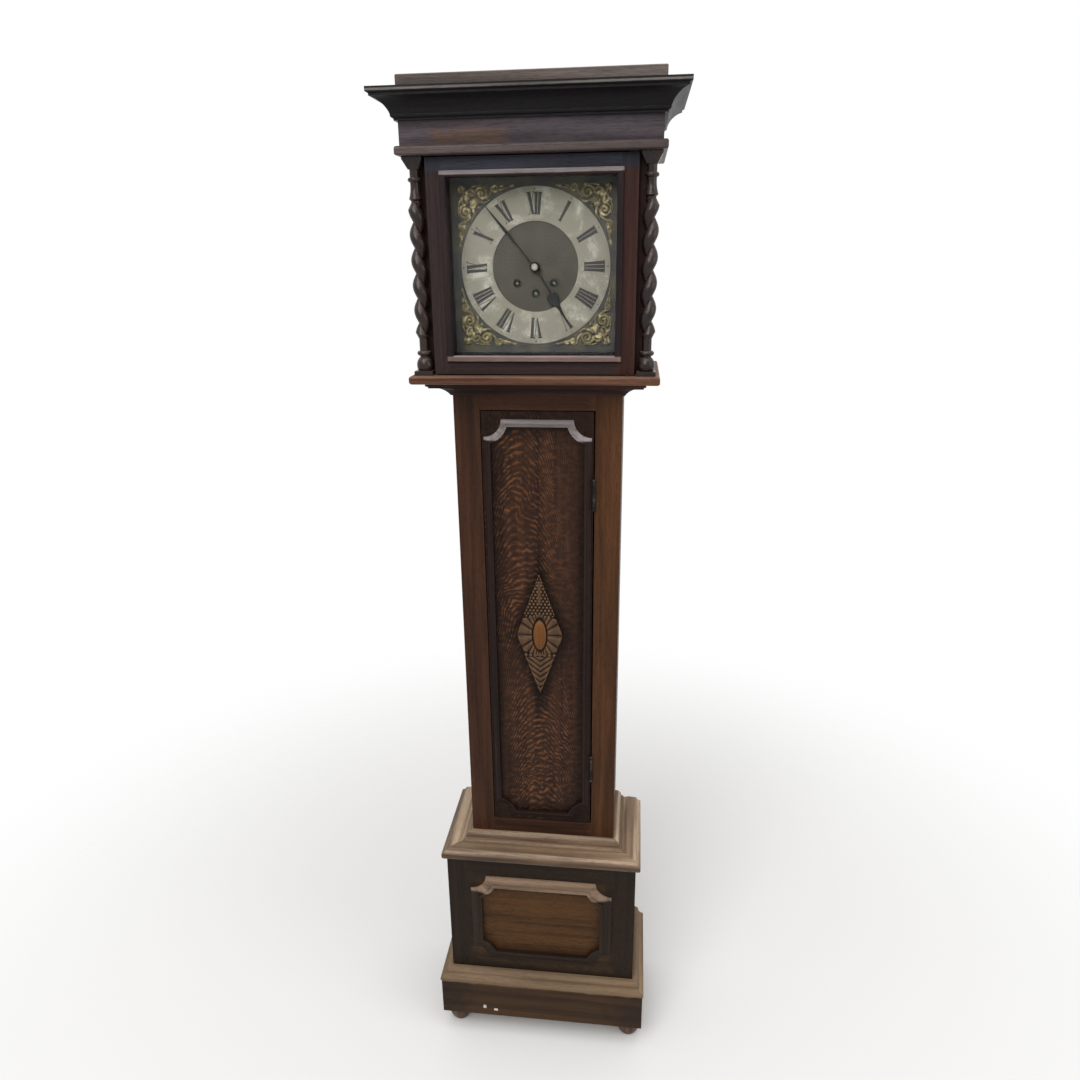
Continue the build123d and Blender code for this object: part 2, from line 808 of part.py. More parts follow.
def twist_column(name, side):
    """A column with a square base, turned rings, a one-strand twist and a flared square capital."""
    axis_point = (side * column_x, back_y - column_depth)
    upright = Plane((*axis_point, 0), x_dir=(1, 0, 0), z_dir=(0, -1, 0))
    spin = Axis((*axis_point, 0), (0, 0, 1))
    base_top = hood_floor + column_base_height
    torus_top = base_top + 20
    ring_bottom = torus_top + 4
    ring_top = ring_bottom + 8
    twist_bottom = ring_top + 17
    half_turn_height = column_pitch / 2
    twist_top = twist_bottom + column_half_turns * half_turn_height
    bell_top = twist_top + 27
    capital_bottom = hood_side_top - column_capital_height
    waist = column_neck_radius
    core = 2.5
    abacus = 4.0
    with BuildPart() as column:
        with BuildSketch(upright):
            with BuildLine():
                Polyline((core, twist_bottom + 3), (waist, twist_bottom + 3), (waist, ring_top))
                ThreePointArc(
                    (waist, ring_top), (column_ring_radius + 1, ring_bottom + 4), (waist, ring_bottom)
                )
                Polyline((waist, ring_bottom), (waist, torus_top + 2), (waist + 2, torus_top))
                ThreePointArc(
                    (waist + 2, torus_top), (column_torus_radius, base_top + 9), (waist + 4, base_top)
                )
                Polyline((waist + 4, base_top), (0, base_top), (0, capital_bottom))
                Polyline((0, capital_bottom), (waist, capital_bottom), (waist, bell_top + 7))
                ThreePointArc(
                    (waist, bell_top + 7), (column_ring_radius, bell_top + 3.5), (waist, bell_top)
                )
                ThreePointArc(
                    (waist, bell_top), (waist + 0.4, twist_top + 14), (waist + 3, twist_top + 3)
                )
                Polyline(
                    (waist + 3, twist_top + 3),
                    (waist, twist_top),
                    (waist, twist_top - 3),
                    (core, twist_top - 3),
                )
                Line((core, twist_top - 3), (core, twist_bottom + 3))
            make_face()
        revolve(axis=spin)
        with BuildSketch(Plane.XY.offset(hood_floor)):
            with Locations(axis_point):
                Rectangle(2 * column_base_half, 2 * column_base_half)
        extrude(amount=column_base_height)
        with BuildSketch(Plane.XY.offset(capital_bottom - 1)):
            with Locations(axis_point):
                Rectangle(2 * waist + 1, 2 * waist + 1)
        with BuildSketch(Plane.XY.offset(hood_side_top - abacus)):
            with Locations(axis_point):
                Rectangle(2 * column_capital_half, 2 * column_capital_half)
        loft()
        with BuildSketch(Plane.XY.offset(hood_side_top - abacus)):
            with Locations(axis_point):
                Rectangle(2 * column_capital_half, 2 * column_capital_half)
        extrude(amount=abacus)
        for half_turn in range(column_half_turns):
            level = twist_bottom + half_turn * half_turn_height
            outline = strand_outline(-90 + half_turn * 180)
            with BuildPart(mode=Mode.PRIVATE) as strand:
                add(
                    Solid.extrude_linear_with_rotation(
                        outline.moved(Location((*axis_point, level))),
                        center=(*axis_point, level),
                        normal=(0, 0, half_turn_height),
                        angle=side * 180,
                    )
                )
                if half_turn in (0, column_half_turns - 1):
                    end, inner = level, level + half_turn_height
                    if half_turn:
                        end, inner = inner, level
                    wide = column_twist_radius + 1
                    with BuildSketch(upright, mode=Mode.PRIVATE) as taper:
                        with BuildLine():
                            Polyline(
                                (0, end),
                                (waist - 1, end),
                                (wide, end + (inner - end) * 0.75),
                                (wide, inner),
                                (0, inner),
                                (0, end),
                            )
                        make_face()
                    add(Solid.revolve(taper.sketch.faces()[0], 360, spin), mode=Mode.INTERSECT)
            add(strand.part)
    return finish(column.part, name)


twist_column("twist_column_left", -1)
twist_column("twist_column_right", 1)

dial_mask = framed(
    (-hood_inner_half, hood_inner_half, hood_floor, hood_side_top),
    (-mask_opening_half, mask_opening_half, mask_opening_bottom, mask_opening_top),
    (mask_back, mask_front),
)
finish(dial_mask, "dial_mask")

# Glazed hood door: frame drilled for its pivots, bead and glass
light_half = glass_door_half - glass_door_stile
light_bottom = glass_door_bottom + glass_door_rail
light_top = glass_door_top - glass_door_rail
with BuildPart() as hood_door_frame:
    add(
        framed(
            (-glass_door_half, glass_door_half, glass_door_bottom, glass_door_top),
            (-light_half, light_half, light_bottom, light_top),
            (glass_door_back, glass_door_front),
        )
    )
    for bottom in (glass_door_bottom, glass_door_top - pivot_in_door):
        with BuildSketch(Plane.XY.offset(bottom)):
            with Locations((pivot_x, back_y - pivot_depth)):
                Circle(pivot_radius + pin_clearance)
        extrude(amount=pivot_in_door, mode=Mode.SUBTRACT)
finish(hood_door_frame.part, "hood_door_frame")

bead_inner_half = light_half + glass_bead_lap - glass_bead_width
bead_inner_bottom = light_bottom - glass_bead_lap + glass_bead_width
bead_inner_top = light_top + glass_bead_lap - glass_bead_width
bead_layers = (
    (glass_door_front - glass_bead_inset, glass_bead_inset, glass_play / 2),
    (glass_door_front, glass_bead_proud, -glass_bead_lap),
)
with BuildPart() as hood_door_bead:
    for depth, thickness, inset in bead_layers:
        with BuildSketch(at_depth(depth)):
            rectangle_between(
                inset - light_half, light_half - inset, light_bottom + inset, light_top - inset
            )
            with Locations((0, (bead_inner_bottom + bead_inner_top) / 2)):
                Rectangle(
                    2 * bead_inner_half, bead_inner_top - bead_inner_bottom, mode=Mode.SUBTRACT
                )
        extrude(amount=thickness)
    fillet(hood_door_bead.faces().sort_by(Axis.Y)[0].edges(), radius=glass_bead_proud * 0.6)
finish(hood_door_bead.part, "hood_door_bead")

glass_front = glass_door_front - glass_bead_inset - joint_gap
upright_board(
    "hood_door_glass",
    (glass_play - light_half, light_half - glass_play),
    (glass_front - glass_thickness, glass_front),
    (light_bottom + glass_play, light_top - glass_play),
)

with BuildPart() as hood_door_pivots:
    for bottom in (
        glass_door_bottom - glass_door_gap - pivot_in_frame + pivot_end_gap,
        glass_door_top - pivot_in_door,
    ):
        with BuildSketch(Plane.XY.offset(bottom)):
            with Locations((pivot_x, back_y - pivot_depth)):
                Circle(pivot_radius)
        extrude(amount=pivot_in_door + glass_door_gap + pivot_in_frame - pivot_end_gap)
finish(hood_door_pivots.part, "hood_door_pivots")

with BuildPart() as hood_pivot_plates:
    for bottom in (hood_floor, hood_side_top - pivot_plate_thickness):
        with BuildSketch(Plane.XY.offset(bottom)):
            with Locations((pivot_x - 2, back_y - pivot_depth)):
                Rectangle(pivot_plate_width, pivot_plate_width / 2)
            with Locations((pivot_x, back_y - pivot_depth)):
                Circle(pivot_radius + running_clearance, mode=Mode.SUBTRACT)
        extrude(amount=pivot_plate_thickness)
finish(hood_pivot_plates.part, "hood_pivot_plates")

# Dial plate with its winding holes and the four feet that hold it off the movement
arbor_places = {
    "time_arbor": (0.0, dial_centre_height - winding_middle_drop),
    "strike_arbor": (-winding_side_x, dial_centre_height - winding_side_drop),
    "chime_arbor": (winding_side_x, dial_centre_height - winding_side_drop),
}
dial_plate_back = dial_plate_front - dial_plate_thickness
dial_foot_places = ((-48, 40), (48, 40), (-48, -68), (48, -68))
hour_pipe_radius = 4.6
with BuildPart() as dial_plate:
    with BuildSketch(at_depth(dial_plate_back)):
        with Locations((0, dial_centre_height)):
            Rectangle(2 * dial_half, 2 * dial_half)
            Circle(hour_pipe_radius + 1, mode=Mode.SUBTRACT)
        with Locations(*arbor_places.values()):
            Circle(winding_hole_radius, mode=Mode.SUBTRACT)
    extrude(amount=dial_plate_thickness)
    with BuildSketch(at_depth(front_plate_front)):
        for x, rise in dial_foot_places:
            with Locations((x, dial_centre_height + rise)):
                Circle(dial_foot_radius)
    extrude(amount=dial_plate_back - front_plate_front)
finish(dial_plate.part, "dial_plate")

with BuildPart() as chapter_ring:
    with BuildSketch(at_depth(dial_plate_front)):
        with Locations((0, dial_centre_height)):
            Circle(ring_outer)
            Circle(ring_inner, mode=Mode.SUBTRACT)
    extrude(amount=ring_thickness)
finish(chapter_ring.part, "chapter_ring")

# Four cast corner pieces: a corner of the square outside the ring, with scrolls
with BuildPart() as spandrels:
    with BuildSketch(at_depth(dial_plate_front)):
        with Locations((0, dial_centre_height)):
            Rectangle(2 * spandrel_half, 2 * spandrel_half)
            Circle(ring_outer + spandrel_gap, mode=Mode.SUBTRACT)
            Rectangle(2 * spandrel_half, spandrel_half * 0.72, mode=Mode.SUBTRACT)
            Rectangle(spandrel_half * 0.72, 2 * spandrel_half, mode=Mode.SUBTRACT)
    extrude(amount=spandrel_thickness)
    with BuildSketch(at_depth(dial_plate_front)):
        with Locations((0, dial_centre_height)):
            for turn in (45, 135, 225, 315):
                for swing, distance, size in ((0, 142, 12), (-13, 137, 9), (13, 137, 9)):
                    angle = math.radians(turn + swing)
                    with Locations((distance * math.cos(angle), distance * math.sin(angle))):
                        Circle(size)
                        Circle(size - 3, mode=Mode.SUBTRACT)
    extrude(amount=spandrel_thickness + 1.2)
finish(spandrels.part, "spandrels")


def gear(teeth, module, angle=0.0, bore=0.0, addendum=0.85):
    """The flat outline of a toothed wheel about the current location, with a tooth at the angle."""
    pitch_radius = module * teeth / 2
    pitch = math.pi * module
    root = pitch_radius - 1.25 * module
    tip = pitch_radius + addendum * module
    Circle(root)
    with PolarLocations(0, teeth, start_angle=angle):
        Polygon(
            (root * 0.96, -0.29 * pitch),
            (pitch_radius, -0.2 * pitch),
            (tip, -0.07 * pitch),
            (tip, 0.07 * pitch),
            (pitch_radius, 0.2 * pitch),
            (root * 0.96, 0.29 * pitch),
            align=None,
        )
    if bore:
        Circle(bore, mode=Mode.SUBTRACT)


def meshed(driver_teeth, driver_angle, teeth, direction):
    """The tooth angle that puts a wheel in mesh with its driver, which lies opposite direction."""
    return direction + 180 - (driver_angle - direction) * driver_teeth / teeth + 180 / teeth


def apex(first, second, first_length, second_length, side):
    """The angle at first of a triangle on two known points with two known sides."""
    gap = math.dist(first, second)
    base = math.degrees(math.atan2(second[1] - first[1], second[0] - first[0]))
    cosine = (first_length**2 + gap**2 - second_length**2) / (2 * first_length * gap)
    return base + side * math.degrees(math.acos(cosine))


# Where the arbors stand, seen from the front
centre = (0.0, dial_centre_height)
barrel_centre = arbor_places["time_arbor"]
barrel_to_intermediate = great_module * (great_teeth + barrel_pinion_teeth) / 2
intermediate_to_centre = intermediate_module * (intermediate_teeth + centre_pinion_teeth) / 2
barrel_mesh = apex(barrel_centre, centre, barrel_to_intermediate, intermediate_to_centre, 1)
intermediate_centre = polar(barrel_centre, barrel_to_intermediate, barrel_mesh)
intermediate_mesh = math.degrees(
    math.atan2(centre[1] - intermediate_centre[1], centre[0] - intermediate_centre[0])
)
escape_centre = (0.0, dial_centre_height + escape_rise)
centre_to_third = centre_module * (centre_teeth + third_pinion_teeth) / 2
third_to_escape = third_module * (third_teeth + escape_pinion_teeth) / 2
centre_mesh = apex(centre, escape_centre, centre_to_third, third_to_escape, -1)
third_centre = polar(centre, centre_to_third, centre_mesh)
third_mesh = math.degrees(
    math.atan2(escape_centre[1] - third_centre[1], escape_centre[0] - third_centre[0])
)
pallet_centre = (0.0, dial_centre_height + escape_rise + pallet_rise)
motion_distance = motion_module * (cannon_teeth + minute_wheel_teeth) / 2
motion_mesh = 45.0
minute_centre = polar(centre, motion_distance, motion_mesh)

# Tooth angles at rest
barrel_pinion_angle = meshed(great_teeth, 0, barrel_pinion_teeth, barrel_mesh)
centre_pinion_angle = meshed(intermediate_teeth, 0, centre_pinion_teeth, intermediate_mesh)
third_pinion_angle = meshed(centre_teeth, 0, third_pinion_teeth, centre_mesh)
escape_pinion_angle = meshed(third_teeth, 0, escape_pinion_teeth, third_mesh)
minute_wheel_angle = meshed(cannon_teeth, 0, minute_wheel_teeth, motion_mesh)
hour_wheel_angle = meshed(minute_pinion_teeth, 0, hour_wheel_teeth, motion_mesh + 180)

# Depths of the wheels, each from the back plate forwards
inside_back = back_plate_back + plate_thickness
time_barrel_back = inside_back + 2.5
great_wheel_back = time_barrel_back + barrel_length
great_wheel_thickness = 2.0
wheel_thickness = 1.2
intermediate_wheel_back = great_wheel_back + 4.5
third_wheel_back = inside_back + 15.5
centre_wheel_back = third_wheel_back + 6.0
side_barrel_back = front_plate_back - barrel_length - 2.5
escape_wheel_back = side_barrel_back + 8.0
cock_back = back_plate_back - 10.0
cock_thickness = 2.5
cock_boss = 1.0
cock_half = 16.0
cock_post = 4.0
cock_drop = 14.0
pendulum_pin_back = pendulum_depth - 4.0
plate_bottom = seat_top
plate_top = plate_bottom + plate_height
pillar_places = [
    (side * (plate_half_width - pillar_inset), level)
    for side in (-1, 1)
    for level in (plate_bottom + pillar_inset, plate_top - pillar_inset)
]
pivot_holes = (
    (centre, arbor_radius),
    (intermediate_centre, thin_arbor_radius),
    (third_centre, thin_arbor_radius),
    (escape_centre, thin_arbor_radius),
)
lug_thickness = 3.0
hammer_last_x = hammer_first_x + (hammer_count - 1) * hammer_pitch
lug_places = (hammer_first_x - hammer_pitch * 0.6, hammer_last_x + hammer_pitch * 0.6)

# Back plate with its riveted pillars, the cock for the pendulum and the lugs for the hammers
with BuildPart() as back_plate:
    with BuildSketch(at_depth(back_plate_back)):
        rectangle_between(-plate_half_width, plate_half_width, plate_bottom, plate_top)
        rectangle_between(
            plate_half_width, lug_places[1] + lug_thickness, plate_bottom, hammer_pivot_height + 6
        )
        for place, radius in pivot_holes:
            with Locations(place):
                Circle(radius + running_clearance, mode=Mode.SUBTRACT)
        with Locations(*arbor_places.values()):
            Circle(winding_arbor_radius + running_clearance, mode=Mode.SUBTRACT)
        with Locations(pallet_centre):
            Circle(5, mode=Mode.SUBTRACT)
    extrude(amount=plate_thickness)
    with BuildSketch(at_depth(inside_back)):
        with Locations(*pillar_places):
            Circle(pillar_radius)
    extrude(amount=plate_gap)
    with BuildSketch(at_depth(cock_back + cock_thickness)):
        for side in (-1, 1):
            faces = sorted((side * cock_half, side * (cock_half - cock_post)))
            rectangle_between(*faces, pallet_centre[1] - cock_drop, plate_top)
    extrude(amount=back_plate_back - cock_back - cock_thickness)
    with BuildSketch(at_depth(cock_back)):
        rectangle_between(-cock_half, cock_half, pallet_centre[1] - cock_drop, plate_top)
    extrude(amount=cock_thickness)
    with BuildSketch(at_depth(cock_back)):
        with Locations(pallet_centre):
            Circle(arbor_radius + running_clearance)
    extrude(amount=cock_thickness, mode=Mode.SUBTRACT)
    with BuildSketch(at_depth(pendulum_pin_back)):
        with Locations(pallet_centre):
            Circle(arbor_radius)
    extrude(amount=cock_back - pendulum_pin_back)
    with BuildSketch(at_depth(cock_back - cock_boss)):
        with Locations(pallet_centre):
            Circle(arbor_radius + 1.5)
    extrude(amount=cock_boss)
    for x in lug_places:
        with BuildSketch(Plane.YZ.offset(x - lug_thickness / 2)):
            rectangle_between(
                back_y - back_plate_back,
                back_y - hammer_pivot_depth + 4,
                hammer_pivot_height - 5,
                hammer_pivot_height + 5,
            )
            with Locations((back_y - hammer_pivot_depth, hammer_pivot_height)):
                Circle(arbor_radius + running_clearance, mode=Mode.SUBTRACT)
        extrude(amount=lug_thickness)
finish(back_plate.part, "back_plate")

minute_stud_radius = 1.5
with BuildPart() as front_plate:
    with BuildSketch(at_depth(front_plate_back)):
        rectangle_between(-plate_half_width, plate_half_width, plate_bottom, plate_top)
        for place, radius in pivot_holes:
            with Locations(place):
                Circle(radius + running_clearance, mode=Mode.SUBTRACT)
        with Locations(*arbor_places.values()):
            Circle(winding_arbor_radius + running_clearance, mode=Mode.SUBTRACT)
        with Locations(pallet_centre):
            Circle(arbor_radius + running_clearance, mode=Mode.SUBTRACT)
    extrude(amount=plate_thickness)
    with BuildSketch(at_depth(front_plate_front)):
        with Locations(minute_centre):
            Circle(minute_stud_radius)
    extrude(amount=16)
finish(front_plate.part, "front_plate")


def arbored(place, radius, wheels, depth_span):
    """An arbor with its wheels and pinions as one piece; a wheel is (teeth, module, angle, span)."""
    with BuildPart() as made:
        with BuildSketch(at_depth(depth_span[0])):
            with Locations(place):
                Circle(radius)
        extrude(amount=depth_span[1] - depth_span[0])
        for teeth, module, angle, span in wheels:
            with BuildSketch(at_depth(span[0])):
                with Locations(place):
                    gear(teeth, module, angle)
            extrude(amount=span[1] - span[0])
    return made.part


shake = 0.3
arbor_span = (back_plate_back, front_plate_front)

intermediate_wheel = arbored(
    intermediate_centre,
    thin_arbor_radius,
    (
        (
            barrel_pinion_teeth,
            great_module,
            barrel_pinion_angle,
            (great_wheel_back - 1, great_wheel_back + great_wheel_thickness + 1),
        ),
        (
            intermediate_teeth,
            intermediate_module,
            0,
            (intermediate_wheel_back, intermediate_wheel_back + wheel_thickness),
        ),
    ),
    arbor_span,
)
finish(intermediate_wheel, "intermediate_wheel")

third_wheel = arbored(
    third_centre,
    thin_arbor_radius,
    (
        (
            third_pinion_teeth,
            centre_module,
            third_pinion_angle,
            (centre_wheel_back - 1, centre_wheel_back + wheel_thickness + 1),
        ),
        (third_teeth, third_module, 0, (third_wheel_back, third_wheel_back + wheel_thickness)),
    ),
    arbor_span,
)
finish(third_wheel, "third_wheel")

# Escape wheel: pointed raking teeth on the same arbor as the last pinion
with BuildPart() as escape_wheel:
    add(
        arbored(
            escape_centre,
            thin_arbor_radius,
            (
                (
                    escape_pinion_teeth,
                    third_module,
                    escape_pinion_angle,
                    (third_wheel_back - 1, third_wheel_back + wheel_thickness + 1),
                ),
            ),
            arbor_span,
        )
    )
    with BuildSketch(at_depth(escape_wheel_back)):
        with Locations(escape_centre):
            Circle(escape_radius - 1.8)
            with PolarLocations(0, escape_teeth):
                Polygon(
                    (escape_radius - 2.1, -0.7),
                    (escape_radius, 0.35),
                    (escape_radius - 2.1, 0.5),
                    align=None,
                )
    extrude(amount=wheel_thickness)
finish(escape_wheel.part, "escape_wheel")

# Centre wheel: its arbor runs out through the dial and carries the cannon pinion and minute hand
cannon_back = front_plate_front + shake
cannon_pinion_length = 6.0
cannon_pipe_radius = 3.0
hour_wheel_back = cannon_back + cannon_pinion_length + 3.0
hour_hand_back = dial_plate_front + ring_thickness + 2.5
hour_hand_front = hour_hand_back + hand_thickness
minute_hand_back = hour_hand_front + 2.6
minute_hand_front = minute_hand_back + hand_thickness
centre_spans = (
    (
        centre_pinion_teeth,
        intermediate_module,
        centre_pinion_angle,
        (intermediate_wheel_back - 1, intermediate_wheel_back + wheel_thickness + 1),
    ),
    (centre_teeth, centre_module, 0, (centre_wheel_back, centre_wheel_back + wheel_thickness)),
    (cannon_teeth, motion_module, 0, (cannon_back, cannon_back + cannon_pinion_length)),
)
with BuildPart() as centre_wheel:
    add(
        arbored(
            centre,
            arbor_radius,
            centre_spans,
            (back_plate_back, minute_hand_front + collet_height - shake),
        )
    )
    with BuildSketch(at_depth(cannon_back + cannon_pinion_length)):
        with Locations(centre):
            Circle(cannon_pipe_radius)
    extrude(amount=minute_hand_back - cannon_back - cannon_pinion_length)
finish(centre_wheel.part, "centre_wheel")

minute_wheel_back = cannon_back + 2.0
minute_pinion_back = hour_wheel_back - 1.0
with BuildPart() as minute_wheel:
    with BuildSketch(at_depth(minute_wheel_back)):
        with Locations(minute_centre):
            gear(
                minute_wheel_teeth,
                motion_module,
                minute_wheel_angle,
                bore=minute_stud_radius + running_clearance,
            )
    extrude(amount=wheel_thickness)
    with BuildSketch(at_depth(minute_wheel_back + wheel_thickness)):
        with Locations(minute_centre):
            gear(
                minute_pinion_teeth,
                hour_module,
                0,
                bore=minute_stud_radius + running_clearance,
            )
    extrude(amount=minute_pinion_back + 4 - minute_wheel_back - wheel_thickness)
finish(minute_wheel.part, "minute_wheel")

with BuildPart() as hour_wheel:
    with BuildSketch(at_depth(hour_wheel_back)):
        with Locations(centre):
            gear(
                hour_wheel_teeth,
                hour_module,
                hour_wheel_angle,
                bore=cannon_pipe_radius + running_clearance,
            )
    extrude(amount=wheel_thickness)
    with BuildSketch(at_depth(hour_wheel_back + wheel_thickness)):
        with Locations(centre):
            Circle(hour_pipe_radius)
            Circle(cannon_pipe_radius + running_clearance, mode=Mode.SUBTRACT)
    extrude(amount=hour_hand_back - hour_wheel_back - wheel_thickness)
finish(hour_wheel.part, "hour_wheel")


# Hands, drawn straight up from the centre and turned to the time shown
def turned_outline(points, angle):
    """Points of a hand that points up, turned anticlockwise by an angle, about the dial centre."""
    turn = math.radians(angle)
    return [
        (
            centre[0] + x * math.cos(turn) - z * math.sin(turn),
            centre[1] + x * math.sin(turn) + z * math.cos(turn),
        )
        for x, z in points
    ]


def mirrored(half_outline):
    """A closed outline from the points of its right half, listed from the centre to the tip."""
    return half_outline + [(-x, z) for x, z in reversed(half_outline)]


# The minute hand is a thin stem that swells past its middle and runs to a point
hand_root = 1.5
hand_tip = 0.45
swell = minute_hand_width / 2
with BuildPart() as minute_hand:
    with BuildSketch(at_depth(minute_hand_back)):
        with BuildLine():
            Polyline(
                *turned_outline(
                    mirrored(
                        [
                            (hand_root, 0),
                            (hand_root * 0.8, minute_hand_length * 0.4),
                            (swell * 0.85, minute_hand_length * 0.52),
                            (swell, minute_hand_length * 0.6),
                            (swell * 0.7, minute_hand_length * 0.7),
                            (hand_tip, minute_hand_length),
                        ]
                    ),
                    minute_hand_angle,
                ),
                close=True,
            )
        make_face()
        with Locations(centre):
            Circle(hand_boss_radius)
            Circle(arbor_radius + pin_clearance, mode=Mode.SUBTRACT)
    extrude(amount=hand_thickness)
    with BuildSketch(at_depth(minute_hand_front)):
        with Locations(centre):
            Circle(hand_boss_radius - 0.5)
            Circle(arbor_radius + pin_clearance, mode=Mode.SUBTRACT)
    extrude(amount=collet_height)
    fillet(minute_hand.faces().sort_by(Axis.Y)[0].outer_wire().edges(), radius=collet_height * 0.8)
finish(minute_hand.part, "minute_hand")

# The hour hand is a thin stem with a spade that runs to a long point
spade_low = hour_hand_length * 0.46
spade_wide = hour_hand_length * 0.54
spade_high = hour_hand_length * 0.65
with BuildPart() as hour_hand:
    with BuildSketch(at_depth(hour_hand_back)):
        with BuildLine():
            Polyline(
                *turned_outline(
                    mirrored(
                        [
                            (hand_root, 0),
                            (hand_root, spade_low),
                            (hour_hand_blob * 0.55, spade_low - 1),
                            (hour_hand_blob * 0.9, spade_low + 3),
                            (hour_hand_blob, spade_wide),
                            (hour_hand_blob * 0.75, spade_wide + 6),
                            (hour_hand_blob * 0.35, spade_high + 2),
                            (hour_hand_blob * 0.16, spade_high + 12),
                            (hand_tip, hour_hand_length),
                        ]
                    ),
                    hour_hand_angle,
                ),
                close=True,
            )
        make_face()
        with Locations(centre):
            Circle(hand_boss_radius + 1)
            Circle(cannon_pipe_radius + running_clearance, mode=Mode.SUBTRACT)
    extrude(amount=hand_thickness)
finish(hour_hand.part, "hour_hand")


def barrel(place, back):
    """A spring barrel: a closed drum with a bore for its arbor."""
    with BuildPart() as drum:
        with BuildSketch(at_depth(back)):
            with Locations(place):
                Circle(barrel_radius)
                Circle(winding_arbor_radius + running_clearance, mode=Mode.SUBTRACT)
        extrude(amount=barrel_length)
        with BuildSketch(at_depth(back + barrel_wall)):
            with Locations(place):
                Circle(barrel_radius - barrel_wall)
                Circle(winding_arbor_radius + 3, mode=Mode.SUBTRACT)
        extrude(amount=barrel_length - 2 * barrel_wall, mode=Mode.SUBTRACT)
    return drum.part


with BuildPart() as time_barrel:
    add(barrel(barrel_centre, time_barrel_back))
    with BuildSketch(at_depth(great_wheel_back)):
        with Locations(barrel_centre):
            gear(
                great_teeth,
                great_module,
                0,
                bore=winding_arbor_radius + running_clearance,
            )
    extrude(amount=great_wheel_thickness)
finish(time_barrel.part, "time_barrel")

with BuildPart() as side_barrels:
    for name in ("strike_arbor", "chime_arbor"):
        add(barrel(arbor_places[name], side_barrel_back))
finish(side_barrels.part, "side_barrels")

# Winding arbors: pivots in the plates, a ratchet in front of the front plate and a square end
ratchet_radius = 8.5
ratchet_teeth = 16
ratchet_back = front_plate_front + shake
square_front = dial_plate_front - 0.5
for name, place in arbor_places.items():
    with BuildPart() as winding_arbor:
        with BuildSketch(at_depth(back_plate_back)):
            with Locations(place):
                Circle(winding_arbor_radius)
        extrude(amount=ratchet_back + 2 - back_plate_back)
        with BuildSketch(at_depth(ratchet_back)):
            with Locations(place):
                Circle(ratchet_radius - 1.6)
                with PolarLocations(0, ratchet_teeth):
                    Polygon(
                        (ratchet_radius - 2, -1.2),
                        (ratchet_radius, 0.9),
                        (ratchet_radius - 2, 1.1),
                        align=None,
                    )
        extrude(amount=2)
        with BuildSketch(at_depth(ratchet_back + 2)):
            with Locations(place):
                Rectangle(winding_square, winding_square)
        extrude(amount=square_front - ratchet_back - 2)
    finish(winding_arbor.part, name)

# Anchor on its arbor, with the crutch behind the back plate and its fork round the pendulum rod
anchor_back = escape_wheel_back - 0.8
anchor_thickness = 2.8
crutch_back = cock_back + cock_thickness + 2.0
crutch_thickness = 2.0
crutch_end = pallet_centre[1] - crutch_length
fork_inner = pendulum_rod_radius + crutch_gap
fork_outer = fork_inner + 2.0
anchor_half = (
    (0, 4),
    (5, 3.5),
    (11, 0),
    (14, -6.5),
    (12.4, -12),
    (10.8, -11),
    (11, -7.5),
    (7, -2.5),
    (0, -3.2),
)
with BuildPart() as anchor:
    with BuildSketch(at_depth(cock_back + shake)):
        with Locations(pallet_centre):
            Circle(arbor_radius)
    extrude(amount=front_plate_front - cock_back - shake)
    with BuildSketch(at_depth(anchor_back)):
        with Locations(pallet_centre):
            Polygon(*anchor_half, *[(-x, z) for x, z in anchor_half[-2:0:-1]], align=None)
    extrude(amount=anchor_thickness)
    with BuildSketch(at_depth(crutch_back)):
        with Locations(pallet_centre):
            Circle(4)
        rectangle_between(-2, 2, crutch_end, pallet_centre[1])
        rectangle_between(-fork_outer, fork_outer, crutch_end - 4, crutch_end)
    extrude(amount=crutch_thickness)
    with BuildSketch(at_depth(pendulum_pin_back)):
        for side in (-1, 1):
            faces = sorted((side * fork_inner, side * fork_outer))
            rectangle_between(*faces, crutch_end - 4, crutch_end)
    extrude(amount=crutch_back - pendulum_pin_back)
finish(anchor.part, "anchor")

# Pendulum rod with its eye and threaded tail, then the bob with its rating nut
pendulum_top = pallet_centre[1]
bob_height = pendulum_top - pendulum_length
rod_end = bob_height - pendulum_tail
eye_radius = 4.5
eye_thickness = 3.6
with BuildPart() as pendulum_rod:
    with BuildSketch(at_depth(pendulum_depth - eye_thickness / 2)):
        with Locations((0, pendulum_top)):
            Circle(eye_radius)
    extrude(amount=eye_thickness)
    with BuildSketch(Plane.XY.offset(rod_end)):
        with Locations((0, back_y - pendulum_depth)):
            Circle(pendulum_rod_radius)
    extrude(amount=pendulum_length + pendulum_tail - arbor_radius - 1)
    with BuildSketch(at_depth(pendulum_depth - eye_radius)):
        with Locations((0, pendulum_top)):
            Circle(arbor_radius + running_clearance)
    extrude(amount=2 * eye_radius, mode=Mode.SUBTRACT)
finish(pendulum_rod.part, "pendulum_rod")

